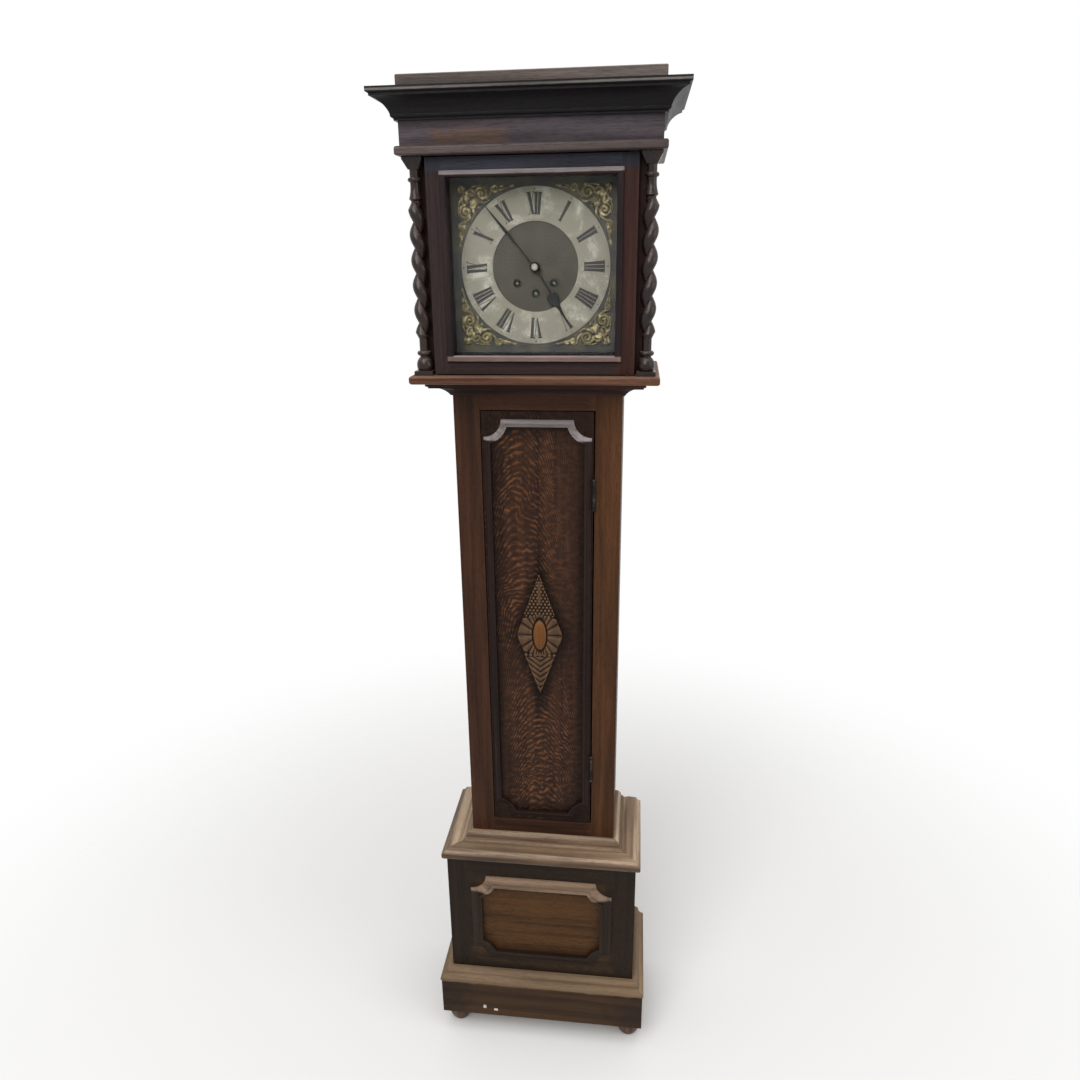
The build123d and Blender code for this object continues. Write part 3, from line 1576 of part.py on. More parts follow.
bob_edge = 1.0
with BuildPart() as pendulum_bob:
    with BuildSketch(Plane((0, back_y - pendulum_depth, bob_height), x_dir=(1, 0, 0), z_dir=(0, 0, 1))):
        with BuildLine():
            Line((0, bob_thickness / 2), (0, -bob_thickness / 2))
            ThreePointArc(
                (0, -bob_thickness / 2),
                (bob_radius * 0.62, -bob_thickness * 0.34),
                (bob_radius, -bob_edge),
            )
            Line((bob_radius, -bob_edge), (bob_radius, bob_edge))
            ThreePointArc(
                (bob_radius, bob_edge),
                (bob_radius * 0.62, bob_thickness * 0.34),
                (0, bob_thickness / 2),
            )
        make_face()
    revolve(axis=Axis((0, back_y - pendulum_depth, bob_height), (0, 1, 0)))
    nut_top = bob_height - bob_radius - joint_gap
    with BuildSketch(Plane.XY.offset(nut_top - rating_nut_height)):
        with Locations((0, back_y - pendulum_depth)):
            RegularPolygon(rating_nut_radius, 12)
    extrude(amount=rating_nut_height)
    with BuildSketch(Plane.XY.offset(rod_end)):
        with Locations((0, back_y - pendulum_depth)):
            Circle(pendulum_rod_radius + pin_clearance)
    extrude(amount=2 * bob_radius + pendulum_tail, mode=Mode.SUBTRACT)
finish(pendulum_bob.part, "pendulum_bob")

# Chime hammers on one arbor, and the rods that they strike
hammer_places = [hammer_first_x + index * hammer_pitch for index in range(hammer_count)]
hammer_head_z = hammer_pivot_height - hammer_arm_length
hammer_head_front = hammer_pivot_depth + 1.5
with BuildPart() as chime_hammers:
    with BuildSketch(Plane.YZ.offset(lug_places[0] - lug_thickness)):
        with Locations((back_y - hammer_pivot_depth, hammer_pivot_height)):
            Circle(arbor_radius)
    extrude(amount=lug_places[1] - lug_places[0] + 2 * lug_thickness)
    for x in hammer_places:
        with BuildSketch(at_depth(hammer_pivot_depth - 1.5)):
            rectangle_between(x - 1.2, x + 1.2, hammer_head_z, hammer_pivot_height + 3)
        extrude(amount=3)
        with BuildSketch(at_depth(hammer_head_front - hammer_head_length)):
            with Locations((x, hammer_head_z)):
                Circle(hammer_head_radius)
        extrude(amount=hammer_head_length)
finish(chime_hammers.part, "chime_hammers")

with BuildPart() as chime_rods:
    with BuildSketch(at_depth(back_board)):
        rectangle_between(
            hammer_first_x - 8, hammer_last_x + 8, rod_block_bottom, rod_block_bottom + rod_block_height
        )
    extrude(amount=rod_depth - back_board + 7)
    for index, x in enumerate(hammer_places):
        length = rod_longest - index * rod_step
        with BuildSketch(Plane.XY.offset(rod_block_bottom - length)):
            with Locations((x, back_y - rod_depth)):
                Circle(rod_radius)
        extrude(amount=length)
finish(chime_rods.part, "chime_rods")
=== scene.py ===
"""Dresses the longcase clock: dark and golden oak, dial brass, silvering, blued hands and light.

Every length is in metres in the clock's own frame: X to the viewer's right, Z up, and the dial
faces -Y. The carved diamond, the corner ornaments and the numerals are height surfaces worked out
as whole arrays; all other pieces are the clock's own solids, each with a finish of its own.
"""

import logging
import math
from dataclasses import dataclass, field, replace
from enum import Enum
from typing import Any, ClassVar

import bmesh
import bpy
import numpy as np
from mathutils import Matrix, Vector

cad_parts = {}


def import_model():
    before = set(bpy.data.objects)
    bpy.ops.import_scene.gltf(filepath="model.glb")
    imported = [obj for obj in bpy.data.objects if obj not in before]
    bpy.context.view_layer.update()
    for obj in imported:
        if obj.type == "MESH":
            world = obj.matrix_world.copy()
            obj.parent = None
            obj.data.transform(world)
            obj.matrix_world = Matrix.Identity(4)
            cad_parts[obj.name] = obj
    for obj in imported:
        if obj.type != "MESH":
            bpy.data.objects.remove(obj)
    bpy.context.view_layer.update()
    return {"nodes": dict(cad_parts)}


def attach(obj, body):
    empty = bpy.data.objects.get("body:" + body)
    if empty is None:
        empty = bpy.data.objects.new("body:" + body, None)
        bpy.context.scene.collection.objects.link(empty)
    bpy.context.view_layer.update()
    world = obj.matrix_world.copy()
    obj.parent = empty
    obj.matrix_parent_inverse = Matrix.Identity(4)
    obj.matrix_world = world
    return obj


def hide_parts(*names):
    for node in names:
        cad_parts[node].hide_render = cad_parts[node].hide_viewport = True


log = logging.getLogger("longcase_clock")

Colour = tuple[float, float, float, float]
Tint = tuple[int, int, int]
Waves = tuple[float, ...]
Span = tuple[float, float]
MM = 0.001
FRONT_OF_BACK = 0.124
DIAL_Z = 1.591
GROOVE = 0.22
VEIN_DEPTH, VEIN_WIDTH = 0.3, 0.16
SPIRAL_POINTS, SPIRAL_SHRINK, ARCH_POINTS = 90, 0.83, 40


def tone(red: int, green: int, blue: int) -> Colour:
    """A colour as the eye sees it, made linear for the shaders.

    Args:
        red: Red from 0 to 255.
        green: Green from 0 to 255.
        blue: Blue from 0 to 255.

    Returns:
        The linear colour with full opacity.
    """
    shares = [channel / 255 for channel in (red, green, blue)]
    linear = [s / 12.92 if s <= 0.04045 else ((s + 0.055) / 1.055) ** 2.4 for s in shares]
    return (linear[0], linear[1], linear[2], 1.0)


def depth_y(depth: float) -> float:
    """The Y of a depth in millimetres forward of the clock's flat back."""
    return FRONT_OF_BACK - depth * MM


# Shader nodes


class Bench:
    """Adds shader nodes to one tree and joins them."""

    def __init__(self, tree: bpy.types.NodeTree) -> None:
        """Keeps the tree that the nodes go into."""
        self.tree = tree

    def put(self, kind: str, feeds: dict[Any, Any] | None = None, **settings: Any) -> Any:
        """Adds one node.

        Args:
            kind: The node's type name.
            feeds: Values or sockets for the node's inputs, by name or number.
            settings: Attributes to set on the node first.

        Returns:
            The new node.
        """
        node = self.tree.nodes.new(kind)
        for key, value in settings.items():
            setattr(node, key, value)
        for key, value in (feeds or {}).items():
            if isinstance(value, bpy.types.NodeSocket):
                self.tree.links.new(value, node.inputs[key])
            else:
                node.inputs[key].default_value = value
        return node

    def calc(self, operation: str, *values: Any, clamp: bool = False) -> Any:
        """One step of arithmetic on numbers or sockets."""
        feeds = dict(enumerate(values))
        return self.put("ShaderNodeMath", feeds, operation=operation, use_clamp=clamp).outputs[0]

    def plus(self, first: Any, second: Any, clamp: bool = False) -> Any:
        """The sum of two numbers or sockets."""
        return self.calc("ADD", first, second, clamp=clamp)

    def less(self, first: Any, second: Any) -> Any:
        """The first number less the second."""
        return self.calc("SUBTRACT", first, second)

    def times(self, first: Any, second: Any, clamp: bool = False) -> Any:
        """The product of two numbers or sockets."""
        return self.calc("MULTIPLY", first, second, clamp=clamp)

    def rest(self, share: Any) -> Any:
        """One less a share."""
        return self.calc("SUBTRACT", 1.0, share)

    def moved(self, operation: str, first: Any, second: Any = None) -> Any:
        """One step of arithmetic on vectors."""
        feeds = {0: first} if second is None else {0: first, 1: second}
        return self.put("ShaderNodeVectorMath", feeds, operation=operation).outputs[0]

    def length(self, vector: Any) -> Any:
        """The length of a vector."""
        node = self.put("ShaderNodeVectorMath", {0: vector}, operation="LENGTH")
        return node.outputs["Value"]

    def dimmed(self, value: Any, factor: Any) -> Any:
        """A colour or a vector multiplied by one number."""
        feeds = {0: value, "Scale": factor}
        return self.put("ShaderNodeVectorMath", feeds, operation="SCALE").outputs[0]

    def noise(self, vector: Any, waves: Waves, detail: float = 3.0, bend: float = 0.0) -> Any:
        """Smooth noise with so many waves in a metre along each axis.

        Args:
            vector: The place.
            waves: The waves along each axis.
            detail: How many finer noises are laid over it.
            bend: How far it distorts itself.

        Returns:
            The noise, about 0.5 on average.
        """
        feeds = {
            "Vector": self.moved("MULTIPLY", vector, waves), "Scale": 1.0, "Detail": detail,
            "Distortion": bend,
        }
        return self.put("ShaderNodeTexNoise", feeds).outputs[0]

    def line(self, value: Any, start: Any, slope: Any, clamp: bool = False) -> Any:
        """A start plus a slope times a value."""
        return self.plus(start, self.times(value, slope), clamp=clamp)

    def step(self, value: Any, low: Any, high: Any) -> Any:
        """A smooth step of a value between two bounds, 0 below and 1 above."""
        feeds = {"Value": value, "From Min": low, "From Max": high}
        node = self.put("ShaderNodeMapRange", feeds, interpolation_type="SMOOTHSTEP", clamp=True)
        return node.outputs[0]

    def blend(self, share: Any, first: Any, second: Any) -> Any:
        """One colour turning into another as the share goes from 0 to 1."""
        feeds = {0: share, 6: first, 7: second}
        return self.put("ShaderNodeMix", feeds, data_type="RGBA").outputs[2]

    def parts(self, vector: Any) -> tuple[Any, Any, Any]:
        """The three components of a vector."""
        out = self.put("ShaderNodeSeparateXYZ", {0: vector}).outputs
        return out[0], out[1], out[2]

    def joined(self, x: Any, y: Any, z: Any) -> Any:
        """A vector of three components."""
        return self.put("ShaderNodeCombineXYZ", {0: x, 1: y, 2: z}).outputs[0]

    def from_line(self, vector: Any, x: float, z: float) -> Any:
        """The distance from a line along Y through (x, z)."""
        px, _, pz = self.parts(vector)
        return self.length(self.joined(self.less(px, x), 0.0, self.less(pz, z)))


class Effect:
    """A shared shader effect: one node group with named inputs and outputs, built once."""

    title = "effect"
    takes: dict[str, tuple[str, ...]] = {}
    gives: dict[str, tuple[str, ...]] = {}

    def __init__(self) -> None:
        """Makes the group and its sockets, then lets the effect fill it."""
        self.tree = bpy.data.node_groups.new(self.title, "ShaderNodeTree")
        for way, sockets in (("INPUT", self.takes), ("OUTPUT", self.gives)):
            for kind, names in sockets.items():
                for name in names:
                    kind_name = "NodeSocket" + kind
                    self.tree.interface.new_socket(name=name, in_out=way, socket_type=kind_name)
        self.bench = Bench(self.tree)
        self.inside = self.bench.put("NodeGroupInput").outputs
        self.fill()

    def fill(self) -> None:
        """Adds the effect's nodes; each effect has its own."""
        raise NotImplementedError

    def give(self, **values: Any) -> None:
        """Joins the results to the group's outputs."""
        self.bench.put("NodeGroupOutput", {key.replace("_", " "): v for key, v in values.items()})

    def place(self, bench: Bench, feeds: dict[str, Any]) -> Any:
        """Puts this effect into a material.

        Args:
            bench: The material's own bench.
            feeds: Values or sockets for the effect's inputs.

        Returns:
            The group node's outputs.
        """
        return bench.put("ShaderNodeGroup", feeds, node_tree=self.tree).outputs


class GrainSpace(Effect):
    """Turns a place on the clock into a place in its board, with the first axis along the grain."""

    title = "grain space"
    takes = {
        "Vector": ("Place",),
        "Float": ("Stile", "Mitre", "Rail", "Middle", "Corner X", "Corner Y"),
    }
    gives = {"Vector": ("Grain",)}

    def fill(self) -> None:
        """Picks upright, across or front-to-back grain by which side of the joints a place lies."""
        b, into = self.bench, self.inside
        x, y, z = b.parts(into["Place"])
        side = b.calc("ABSOLUTE", x)
        height = b.calc("ABSOLUTE", b.less(z, into["Middle"]))
        rise = b.times(b.less(height, into["Rail"]), into["Mitre"])
        upright = b.calc("GREATER_THAN", b.less(side, into["Stile"]), rise)
        beside = b.less(side, into["Corner X"])
        deep = b.calc("GREATER_THAN", beside, b.less(into["Corner Y"], y))
        feeds = {0: upright, 4: b.joined(x, z, y), 5: b.joined(z, x, y)}
        front = b.put("ShaderNodeMix", feeds, data_type="VECTOR").outputs[1]
        feeds = {0: deep, 4: front, 5: b.joined(y, z, x)}
        self.give(Grain=b.put("ShaderNodeMix", feeds, data_type="VECTOR").outputs[1])


class OakFigure(Effect):
    """Old polished oak: broad tone, growth bands, fine grain, open pores, wear, and tops paled by
    dustiness and a painted highlight.

    Waves are counted in a metre along the grain and across it. An edge is where a noise starts to
    count and where it counts in full.
    """

    title = "oak figure"
    takes = {
        "Vector": ("Grain", "Place"),
        "Float": ("Seed", "Pale share", "Dust and sheen", "Upward", "Matt"),
        "Color": ("Dark", "Mid", "Pale", "Dust colour"),
    }
    gives = {"Color": ("Colour",), "Float": ("Roughness", "Height")}
    seed_steps = (0.73, 0.31, 0.57)
    broad_waves = (2.2, 18.0, 18.0)
    band_waves = (3.0, 95.0, 95.0)
    streak_waves = (1.6, 46.0, 46.0)
    fine_waves = (16.0, 520.0, 520.0)
    pore_waves = (60.0, 1700.0, 1700.0)
    dust_and_sheen_waves = (34.0,) * 3
    mid_edge = (0.36, 0.64)
    pale_edge = (0.46, 0.68)
    pore_edge = (0.58, 0.70)
    lying_edge = (0.25, 0.95)
    fine_light = (0.72, 0.56)
    pore_light, pore_share = 0.45, 0.45
    least_dust_and_sheen = 0.55
    fine_matt, dust_matt = 0.22, 0.25
    fine_rise, pore_fall = 0.5, 0.6

    def fill(self) -> None:
        """Mixes four noises stretched along the grain, each finer than the last."""
        b, into = self.bench, self.inside
        shift = b.joined(*(b.times(into["Seed"], step) for step in self.seed_steps))
        grain = b.moved("ADD", into["Grain"], shift)
        broad = b.noise(grain, self.broad_waves, 3.0, 0.6)
        bands = b.noise(grain, self.band_waves, 4.0, 0.5)
        streaks = b.noise(grain, self.streak_waves, 3.0, 0.3)
        fine = b.noise(grain, self.fine_waves, 2.0)
        pores = b.step(b.noise(grain, self.pore_waves, 1.0), *self.pore_edge)
        mixed = b.plus(b.times(broad, 0.5), b.times(bands, 0.5))
        colour = b.blend(b.step(mixed, *self.mid_edge), into["Dark"], into["Mid"])
        pale = b.times(b.step(streaks, *self.pale_edge), into["Pale share"])
        colour = b.dimmed(b.blend(pale, colour, into["Pale"]), b.line(fine, *self.fine_light))
        shadow = b.dimmed(into["Dark"], self.pore_light)
        colour = b.blend(b.times(pores, self.pore_share), colour, shadow)
        # Faces that look up turn paler: dustiness, and also a painted highlight where overhead
        # light would fall.
        dust_and_sheen_noise = b.noise(into["Place"], self.dust_and_sheen_waves, 4.0)
        lying = b.times(b.step(into["Upward"], *self.lying_edge), into["Dust and sheen"])
        dust_and_sheen_share = b.times(lying, b.plus(self.least_dust_and_sheen, dust_and_sheen_noise), clamp=True)
        colour = b.blend(dust_and_sheen_share, colour, into["Dust colour"])
        matt = b.line(b.less(fine, 0.5), into["Matt"], self.fine_matt)
        matt = b.line(dust_and_sheen_share, matt, self.dust_matt, clamp=True)
        relief = b.less(b.times(fine, self.fine_rise), b.times(pores, self.pore_fall))
        self.give(Colour=colour, Roughness=matt, Height=relief)


class RayFlecks(Effect):
    """Broken golden arcs of cut growth rings, nested round a line that leans across the board."""

    title = "ring flecks"
    takes = {"Vector": ("Place",), "Float": ("Spacing", "Bend", "Amount")}
    gives = {"Float": ("Flecks",)}
    lean, lean_edge = -0.035, (0.70, 1.15)
    wander, wander_waves = 0.11, (13.0, 9.0, 7.0)
    break_waves, break_edge, break_light = (70.0, 30.0, 120.0), (0.43, 0.62), (0.12, 0.88)
    patch_waves, patch_edge, patch_light = (13.0, 9.0, 8.0), (0.34, 0.62), (0.3, 0.7)
    side_edge = (0.03, 0.1)
    crest_edge = (0.1, 1.0)

    def fill(self) -> None:
        """An arc's number is its height plus a square of its distance from the leaning line."""
        b, into = self.bench, self.inside
        x, _, z = b.parts(into["Place"])
        aside = b.less(x, b.times(b.step(z, *self.lean_edge), self.lean))
        square = b.times(b.times(aside, aside), into["Bend"])
        wander = b.noise(into["Place"], self.wander_waves, 4.0, 0.7)
        phase = b.line(wander, b.plus(z, square), self.wander)
        turn = b.calc("FRACT", b.calc("DIVIDE", phase, into["Spacing"]))
        crest = b.calc("ABSOLUTE", b.less(b.times(turn, 2.0), 1.0))
        broken = b.noise(into["Place"], self.break_waves, 4.0)
        gate = b.line(b.step(broken, *self.break_edge), *self.break_light)
        patchy = b.step(b.noise(into["Place"], self.patch_waves, 3.0), *self.patch_edge)
        middle = b.rest(b.step(b.calc("ABSOLUTE", aside), *self.side_edge))
        lit = b.line(b.times(patchy, middle), *self.patch_light)
        flecks = b.times(b.times(b.step(crest, *self.crest_edge), gate), lit)
        self.give(Flecks=b.times(flecks, into["Amount"], clamp=True))


class SoftBox(Effect):
    """A mask that is 1 inside a box and fades to 0 outside it."""

    title = "soft box"
    takes = {"Vector": ("Place", "Centre", "Half"), "Float": ("Fade",)}
    gives = {"Float": ("Mask",)}
    ragged_waves = (55.0,) * 3

    def fill(self) -> None:
        """The farthest that a place lies outside the box along any axis, turned into a fade."""
        b, into = self.bench, self.inside
        away = b.moved("ABSOLUTE", b.moved("SUBTRACT", into["Place"], into["Centre"]))
        x, y, z = b.parts(b.moved("SUBTRACT", away, into["Half"]))
        far = b.calc("MAXIMUM", b.calc("MAXIMUM", x, y), z)
        ragged = b.noise(into["Place"], self.ragged_waves, 3.0)
        far = b.line(b.less(ragged, 0.5), far, into["Fade"])
        self.give(Mask=b.rest(b.step(far, 0.0, into["Fade"])))


class Tarnish(Effect):
    """Aged metal: clean colour under blotches of tarnish, speckle and fine scratches."""

    title = "metal tarnish"
    takes = {
        "Vector": ("Place",),
        "Float": ("Scale", "Amount", "Matt"),
        "Color": ("Clean", "Dull"),
    }
    gives = {"Color": ("Colour",), "Float": ("Roughness", "Height")}
    speckle_waves = (9.0,) * 3
    blotch_share, speckle_share = 0.7, 0.3
    bound, blur = 0.78, 0.2
    speckle_light = (0.86, 0.28)
    dull_matt = 0.2

    def fill(self) -> None:
        """Two sizes of blotch set how dull a place is, and fine speckle pits it."""
        b, into = self.bench, self.inside
        grown = b.dimmed(into["Place"], into["Scale"])
        blotch = b.noise(grown, (1.0,) * 3, 5.0, 0.4)
        speckle = b.noise(grown, self.speckle_waves, 3.0)
        both = b.plus(b.times(blotch, self.blotch_share), b.times(speckle, self.speckle_share))
        bound = b.less(self.bound, b.times(into["Amount"], 0.5))
        dull = b.step(both, b.less(bound, self.blur), bound)
        colour = b.blend(dull, into["Clean"], into["Dull"])
        colour = b.dimmed(colour, b.line(speckle, *self.speckle_light))
        matt = b.line(dull, into["Matt"], self.dull_matt, clamp=True)
        self.give(Colour=colour, Roughness=matt, Height=speckle)


class Effects:
    """The shared effects, made once before any material."""

    def __init__(self) -> None:
        """Builds every node group."""
        self.grain = GrainSpace()
        self.oak = OakFigure()
        self.flecks = RayFlecks()
        self.box = SoftBox()
        self.tarnish = Tarnish()


class Coating:
    """One material with its shader, ready to be fed."""

    def __init__(self, name: str, **constants: Any) -> None:
        """Makes the material.

        Args:
            name: The material's name.
            constants: Values set on the shader's own sockets, with underscores for spaces.
        """
        self.material = bpy.data.materials.new(name)
        self.material.use_nodes = True
        self.material.node_tree.nodes.clear()
        self.bench = Bench(self.material.node_tree)
        self.place = self.bench.put("ShaderNodeTexCoord").outputs["Object"]
        self.upward = self.bench.parts(self.bench.put("ShaderNodeNewGeometry").outputs["Normal"])[2]
        self.shader = self.bench.put("ShaderNodeBsdfPrincipled")
        for key, value in constants.items():
            self.shader.inputs[key.replace("_", " ")].default_value = value
        feeds = {"Surface": self.shader.outputs[0]}
        self.output = self.bench.put("ShaderNodeOutputMaterial", feeds)

    def feed(self, socket: str, value: Any) -> None:
        """Joins a changing value to one of the shader's sockets."""
        self.bench.tree.links.new(value, self.shader.inputs[socket])

    def finish(self, colour: Any, matt: Any, height: Any, reach: float) -> bpy.types.Material:
        """Feeds the shader and gives the finished material.

        Args:
            colour: The colour socket.
            matt: The roughness socket.
            height: The height socket.
            reach: How far a height of 1 stands out, in metres.

        Returns:
            The material.
        """
        feeds = {"Height": height, "Distance": reach, "Strength": 1.0}
        raised = self.bench.put("ShaderNodeBump", feeds).outputs[0]
        for socket, value in (("Base Color", colour), ("Roughness", matt), ("Normal", raised)):
            self.feed(socket, value)
        return self.material


def coat(names: tuple[str, ...], material: bpy.types.Material) -> None:
    """Gives CAD nodes a material through their own slots.

    Args:
        names: The nodes.
        material: What they are finished in.
    """
    for name in names:
        piece = Clock.nodes[name]
        if not piece.material_slots:
            piece.data.materials.append(material)
        for place in piece.material_slots:
            place.material = material


# Finishes


class Grain(Enum):
    """Which way the wood runs in a piece."""

    UPRIGHT = "upright"
    ACROSS = "across"
    DEEP = "front to back"
    FRAMED = "stiles upright, rails across"
    MITRED = "a mitred frame"
    WRAPPED = "round the front and both sides"


@dataclass(frozen=True)
class Patch:
    """A place where the wood takes another colour, its own tone or a painted highlight: a box with
    a soft edge.
    """

    centre: tuple[float, float, float]
    half: tuple[float, float, float]
    fade: float
    mid: Tint
    pale: Tint

    @property
    def dark(self) -> Colour:
        """The patch's dark grain: its middle colour at half strength."""
        red, green, blue, _ = tone(*self.mid)
        return (red * 0.5, green * 0.5, blue * 0.5, 1.0)


@dataclass(frozen=True)
class OakFinish:
    """Polished oak of one colour and one way of the grain.

    Attributes:
        pale_share: How much of it the pale streaks take.
        matt: Its roughness.
        dust: How much faces that look up are paled, by dustiness and by a painted highlight.
        seed: What shifts its figure from that of other boards.
        stile: Half the width between the stiles of a frame, in metres.
        rail: Half the height between its rails.
        middle: The height of its middle.
        corner: Half the width and the Y of the corner that a moulding is wrapped round.
        patches: Places of another colour.
        fleck: How strongly the ring flecks show.
        relief: How far the grain stands out, in metres.
        carving: The depths of a carving's floor, crests and boss, in millimetres.
        crest_wear_and_highlight: The colour of its crests, worn and with a painted highlight.
        halo: Half the width, half the height and the middle of a dark diamond of painted shadow and
            stain.
        vignette: The same of a box whose polish darkens towards its edge.
        shaded_from: The depth that halo and vignette stay in front of, in millimetres.
        gloss: The strength of its reflections.
    """

    name: str
    grain: Grain
    dark: Tint
    mid: Tint
    pale: Tint
    pale_share: float = 0.35
    matt: float = 0.42
    # Paleness and colour on faces that look up: dustiness, with a painted highlight of overhead
    # light.
    dust: float = 0.0
    dust_colour: Tint = (128, 106, 90)
    seed: float = 0.0
    stile: float = 0.0
    rail: float = 0.0
    middle: float = 0.0
    corner: tuple[float, float] = (0.0, 0.0)
    patches: tuple[Patch, ...] = ()
    fleck: float = 0.0
    fleck_colour: Tint = (124, 80, 50)
    relief: float = 0.00025
    carving: tuple[float, float, float] | None = None
    crest_wear_and_highlight: Tint = (150, 138, 126)
    halo: tuple[float, float, float] | None = None
    vignette: tuple[float, float, float] | None = None
    shaded_from: float = 157.0
    gloss: float = 0.1
    fleck_spacing: ClassVar[float] = 0.0125
    fleck_bend: ClassVar[float] = 25.0
    floor_light: ClassVar[float] = 0.12
    least_crest_highlight: ClassVar[float] = 0.25
    halo_edge: ClassVar[Span] = (0.95, 1.5)
    halo_strength: ClassVar[float] = 0.72
    vignette_edge: ClassVar[Span] = (-0.032, -0.002)
    vignette_strength: ClassVar[float] = 0.6

    def layout(self) -> dict[str, float]:
        """The numbers that tell the grain space which way the boards run.

        Returns:
            The values for its sockets.
        """
        far = 10.0
        stile, mitre, corner = far, 0.0, (far, 0.0)
        if self.grain is Grain.UPRIGHT:
            stile = -1.0
        elif self.grain is Grain.DEEP:
            corner = (-far, 0.0)
        elif self.grain is Grain.FRAMED:
            stile = self.stile
        elif self.grain is Grain.MITRED:
            stile, mitre = self.stile, 1.0
        elif self.grain is Grain.WRAPPED:
            corner = self.corner
        return {
            "Stile": stile, "Mitre": mitre, "Rail": self.rail, "Middle": self.middle,
            "Corner X": corner[0], "Corner Y": corner[1],
        }

    def make(self, effects: Effects) -> bpy.types.Material:
        """Builds the material.

        Args:
            effects: The shared effects.

        Returns:
            The finished material.
        """
        coating = Coating(self.name, Specular_IOR_Level=self.gloss)
        bench = coating.bench
        grain = effects.grain.place(bench, {"Place": coating.place} | self.layout())["Grain"]
        dark, mid, pale = tone(*self.dark), tone(*self.mid), tone(*self.pale)
        for patch in self.patches:
            feeds = {"Place": coating.place, "Centre": patch.centre, "Half": patch.half}
            mask = effects.box.place(bench, feeds | {"Fade": patch.fade})["Mask"]
            dark = bench.blend(mask, dark, patch.dark)
            mid = bench.blend(mask, mid, tone(*patch.mid))
            pale = bench.blend(mask, pale, tone(*patch.pale))
        feeds = {
            "Grain": grain, "Place": coating.place, "Seed": self.seed, "Dark": dark, "Mid": mid,
            "Pale": pale, "Pale share": self.pale_share, "Dust and sheen": self.dust,
            "Dust colour": tone(*self.dust_colour), "Upward": coating.upward, "Matt": self.matt,
        }
        wood = effects.oak.place(bench, feeds)
        colour = wood["Colour"]
        if self.fleck > 0:
            feeds = {
                "Place": coating.place, "Spacing": self.fleck_spacing,
                "Bend": self.fleck_bend, "Amount": self.fleck,
            }
            flecks = effects.flecks.place(bench, feeds)["Flecks"]
            colour = bench.blend(flecks, colour, tone(*self.fleck_colour))
        colour = self.shaded(coating, self.carved(coating, colour))
        return coating.finish(colour, wood["Roughness"], wood["Height"], self.relief)

    def carved(self, coating: Coating, colour: Any) -> Any:
        """Darkens a carving's floor and pales its crests: wear and a painted highlight, most where
        facing up.

        Args:
            coating: The material.
            colour: The wood's colour.

        Returns:
            The colour, changed where there is a carving.
        """
        if not self.carving:
            return colour
        b = coating.bench
        _, y, _ = b.parts(coating.place)
        floor, crest, boss = (depth_y(depth) for depth in self.carving)
        crests = b.less(b.step(y, (floor + crest) / 2, crest), b.step(y, crest, boss))
        # Painted highlight on the crests, with wear, strongest where they face up.
        upward_highlight = b.plus(self.least_crest_highlight, b.step(coating.upward, 0.0, 0.9))
        colour = b.blend(b.step(y, floor, crest), b.dimmed(colour, self.floor_light), colour)
        return b.blend(b.times(crests, upward_highlight, clamp=True), colour, tone(*self.crest_wear_and_highlight))

    def shaded(self, coating: Coating, colour: Any) -> Any:
        """Darkens the colour inside the halo, painted shadow with stain, and the polish towards the
        vignette's edge.

        Args:
            coating: The material.
            colour: The wood's colour.

        Returns:
            The colour, darker there.
        """
        b = coating.bench
        x, y, z = b.parts(coating.place)
        side = b.calc("ABSOLUTE", x)
        ahead = b.calc("LESS_THAN", y, depth_y(self.shaded_from))
        shades = []
        # The halo: painted shadow round the carved diamond, with a darker stain.
        if self.halo:
            half_x, half_z, middle = self.halo
            high = b.calc("ABSOLUTE", b.less(z, middle))
            away = b.plus(b.calc("DIVIDE", side, half_x), b.calc("DIVIDE", high, half_z))
            shades.append((b.rest(b.step(away, *self.halo_edge)), self.halo_strength))
        if self.vignette:
            half_x, half_z, middle = self.vignette
            high = b.calc("ABSOLUTE", b.less(z, middle))
            out = b.calc("MAXIMUM", b.less(side, half_x), b.less(high, half_z))
            shades.append((b.step(out, *self.vignette_edge), self.vignette_strength))
        for shade, strength in shades:
            colour = b.dimmed(colour, b.rest(b.times(b.times(shade, ahead), strength)))
        return colour


@dataclass(frozen=True)
class MetalFinish:
    """A metal with its tarnish.

    Attributes:
        clean: Its colour where it's bright.
        dull: Its colour under tarnish.
        metal: How metallic it looks.
        matt: Its roughness.
        amount: How much of it is tarnished.
        scale: How many blotches there are in a metre.
        relief: How far the speckle stands out, in metres.
    """

    name: str
    clean: Tint
    dull: Tint
    metal: float
    matt: float
    amount: float = 0.5
    scale: float = 60.0
    relief: float = 0.00004

    def make(self, effects: Effects) -> bpy.types.Material:
        """Builds the material.

        Args:
            effects: The shared effects.

        Returns:
            The finished material.
        """
        coating = Coating(self.name, Metallic=self.metal, Specular_IOR_Level=0.4)
        feeds = {
            "Place": coating.place, "Scale": self.scale, "Clean": tone(*self.clean),
            "Dull": tone(*self.dull), "Amount": self.amount, "Matt": self.matt,
        }
        metal = effects.tarnish.place(coating.bench, feeds)
        return coating.finish(metal["Colour"], metal["Roughness"], metal["Height"], self.relief)


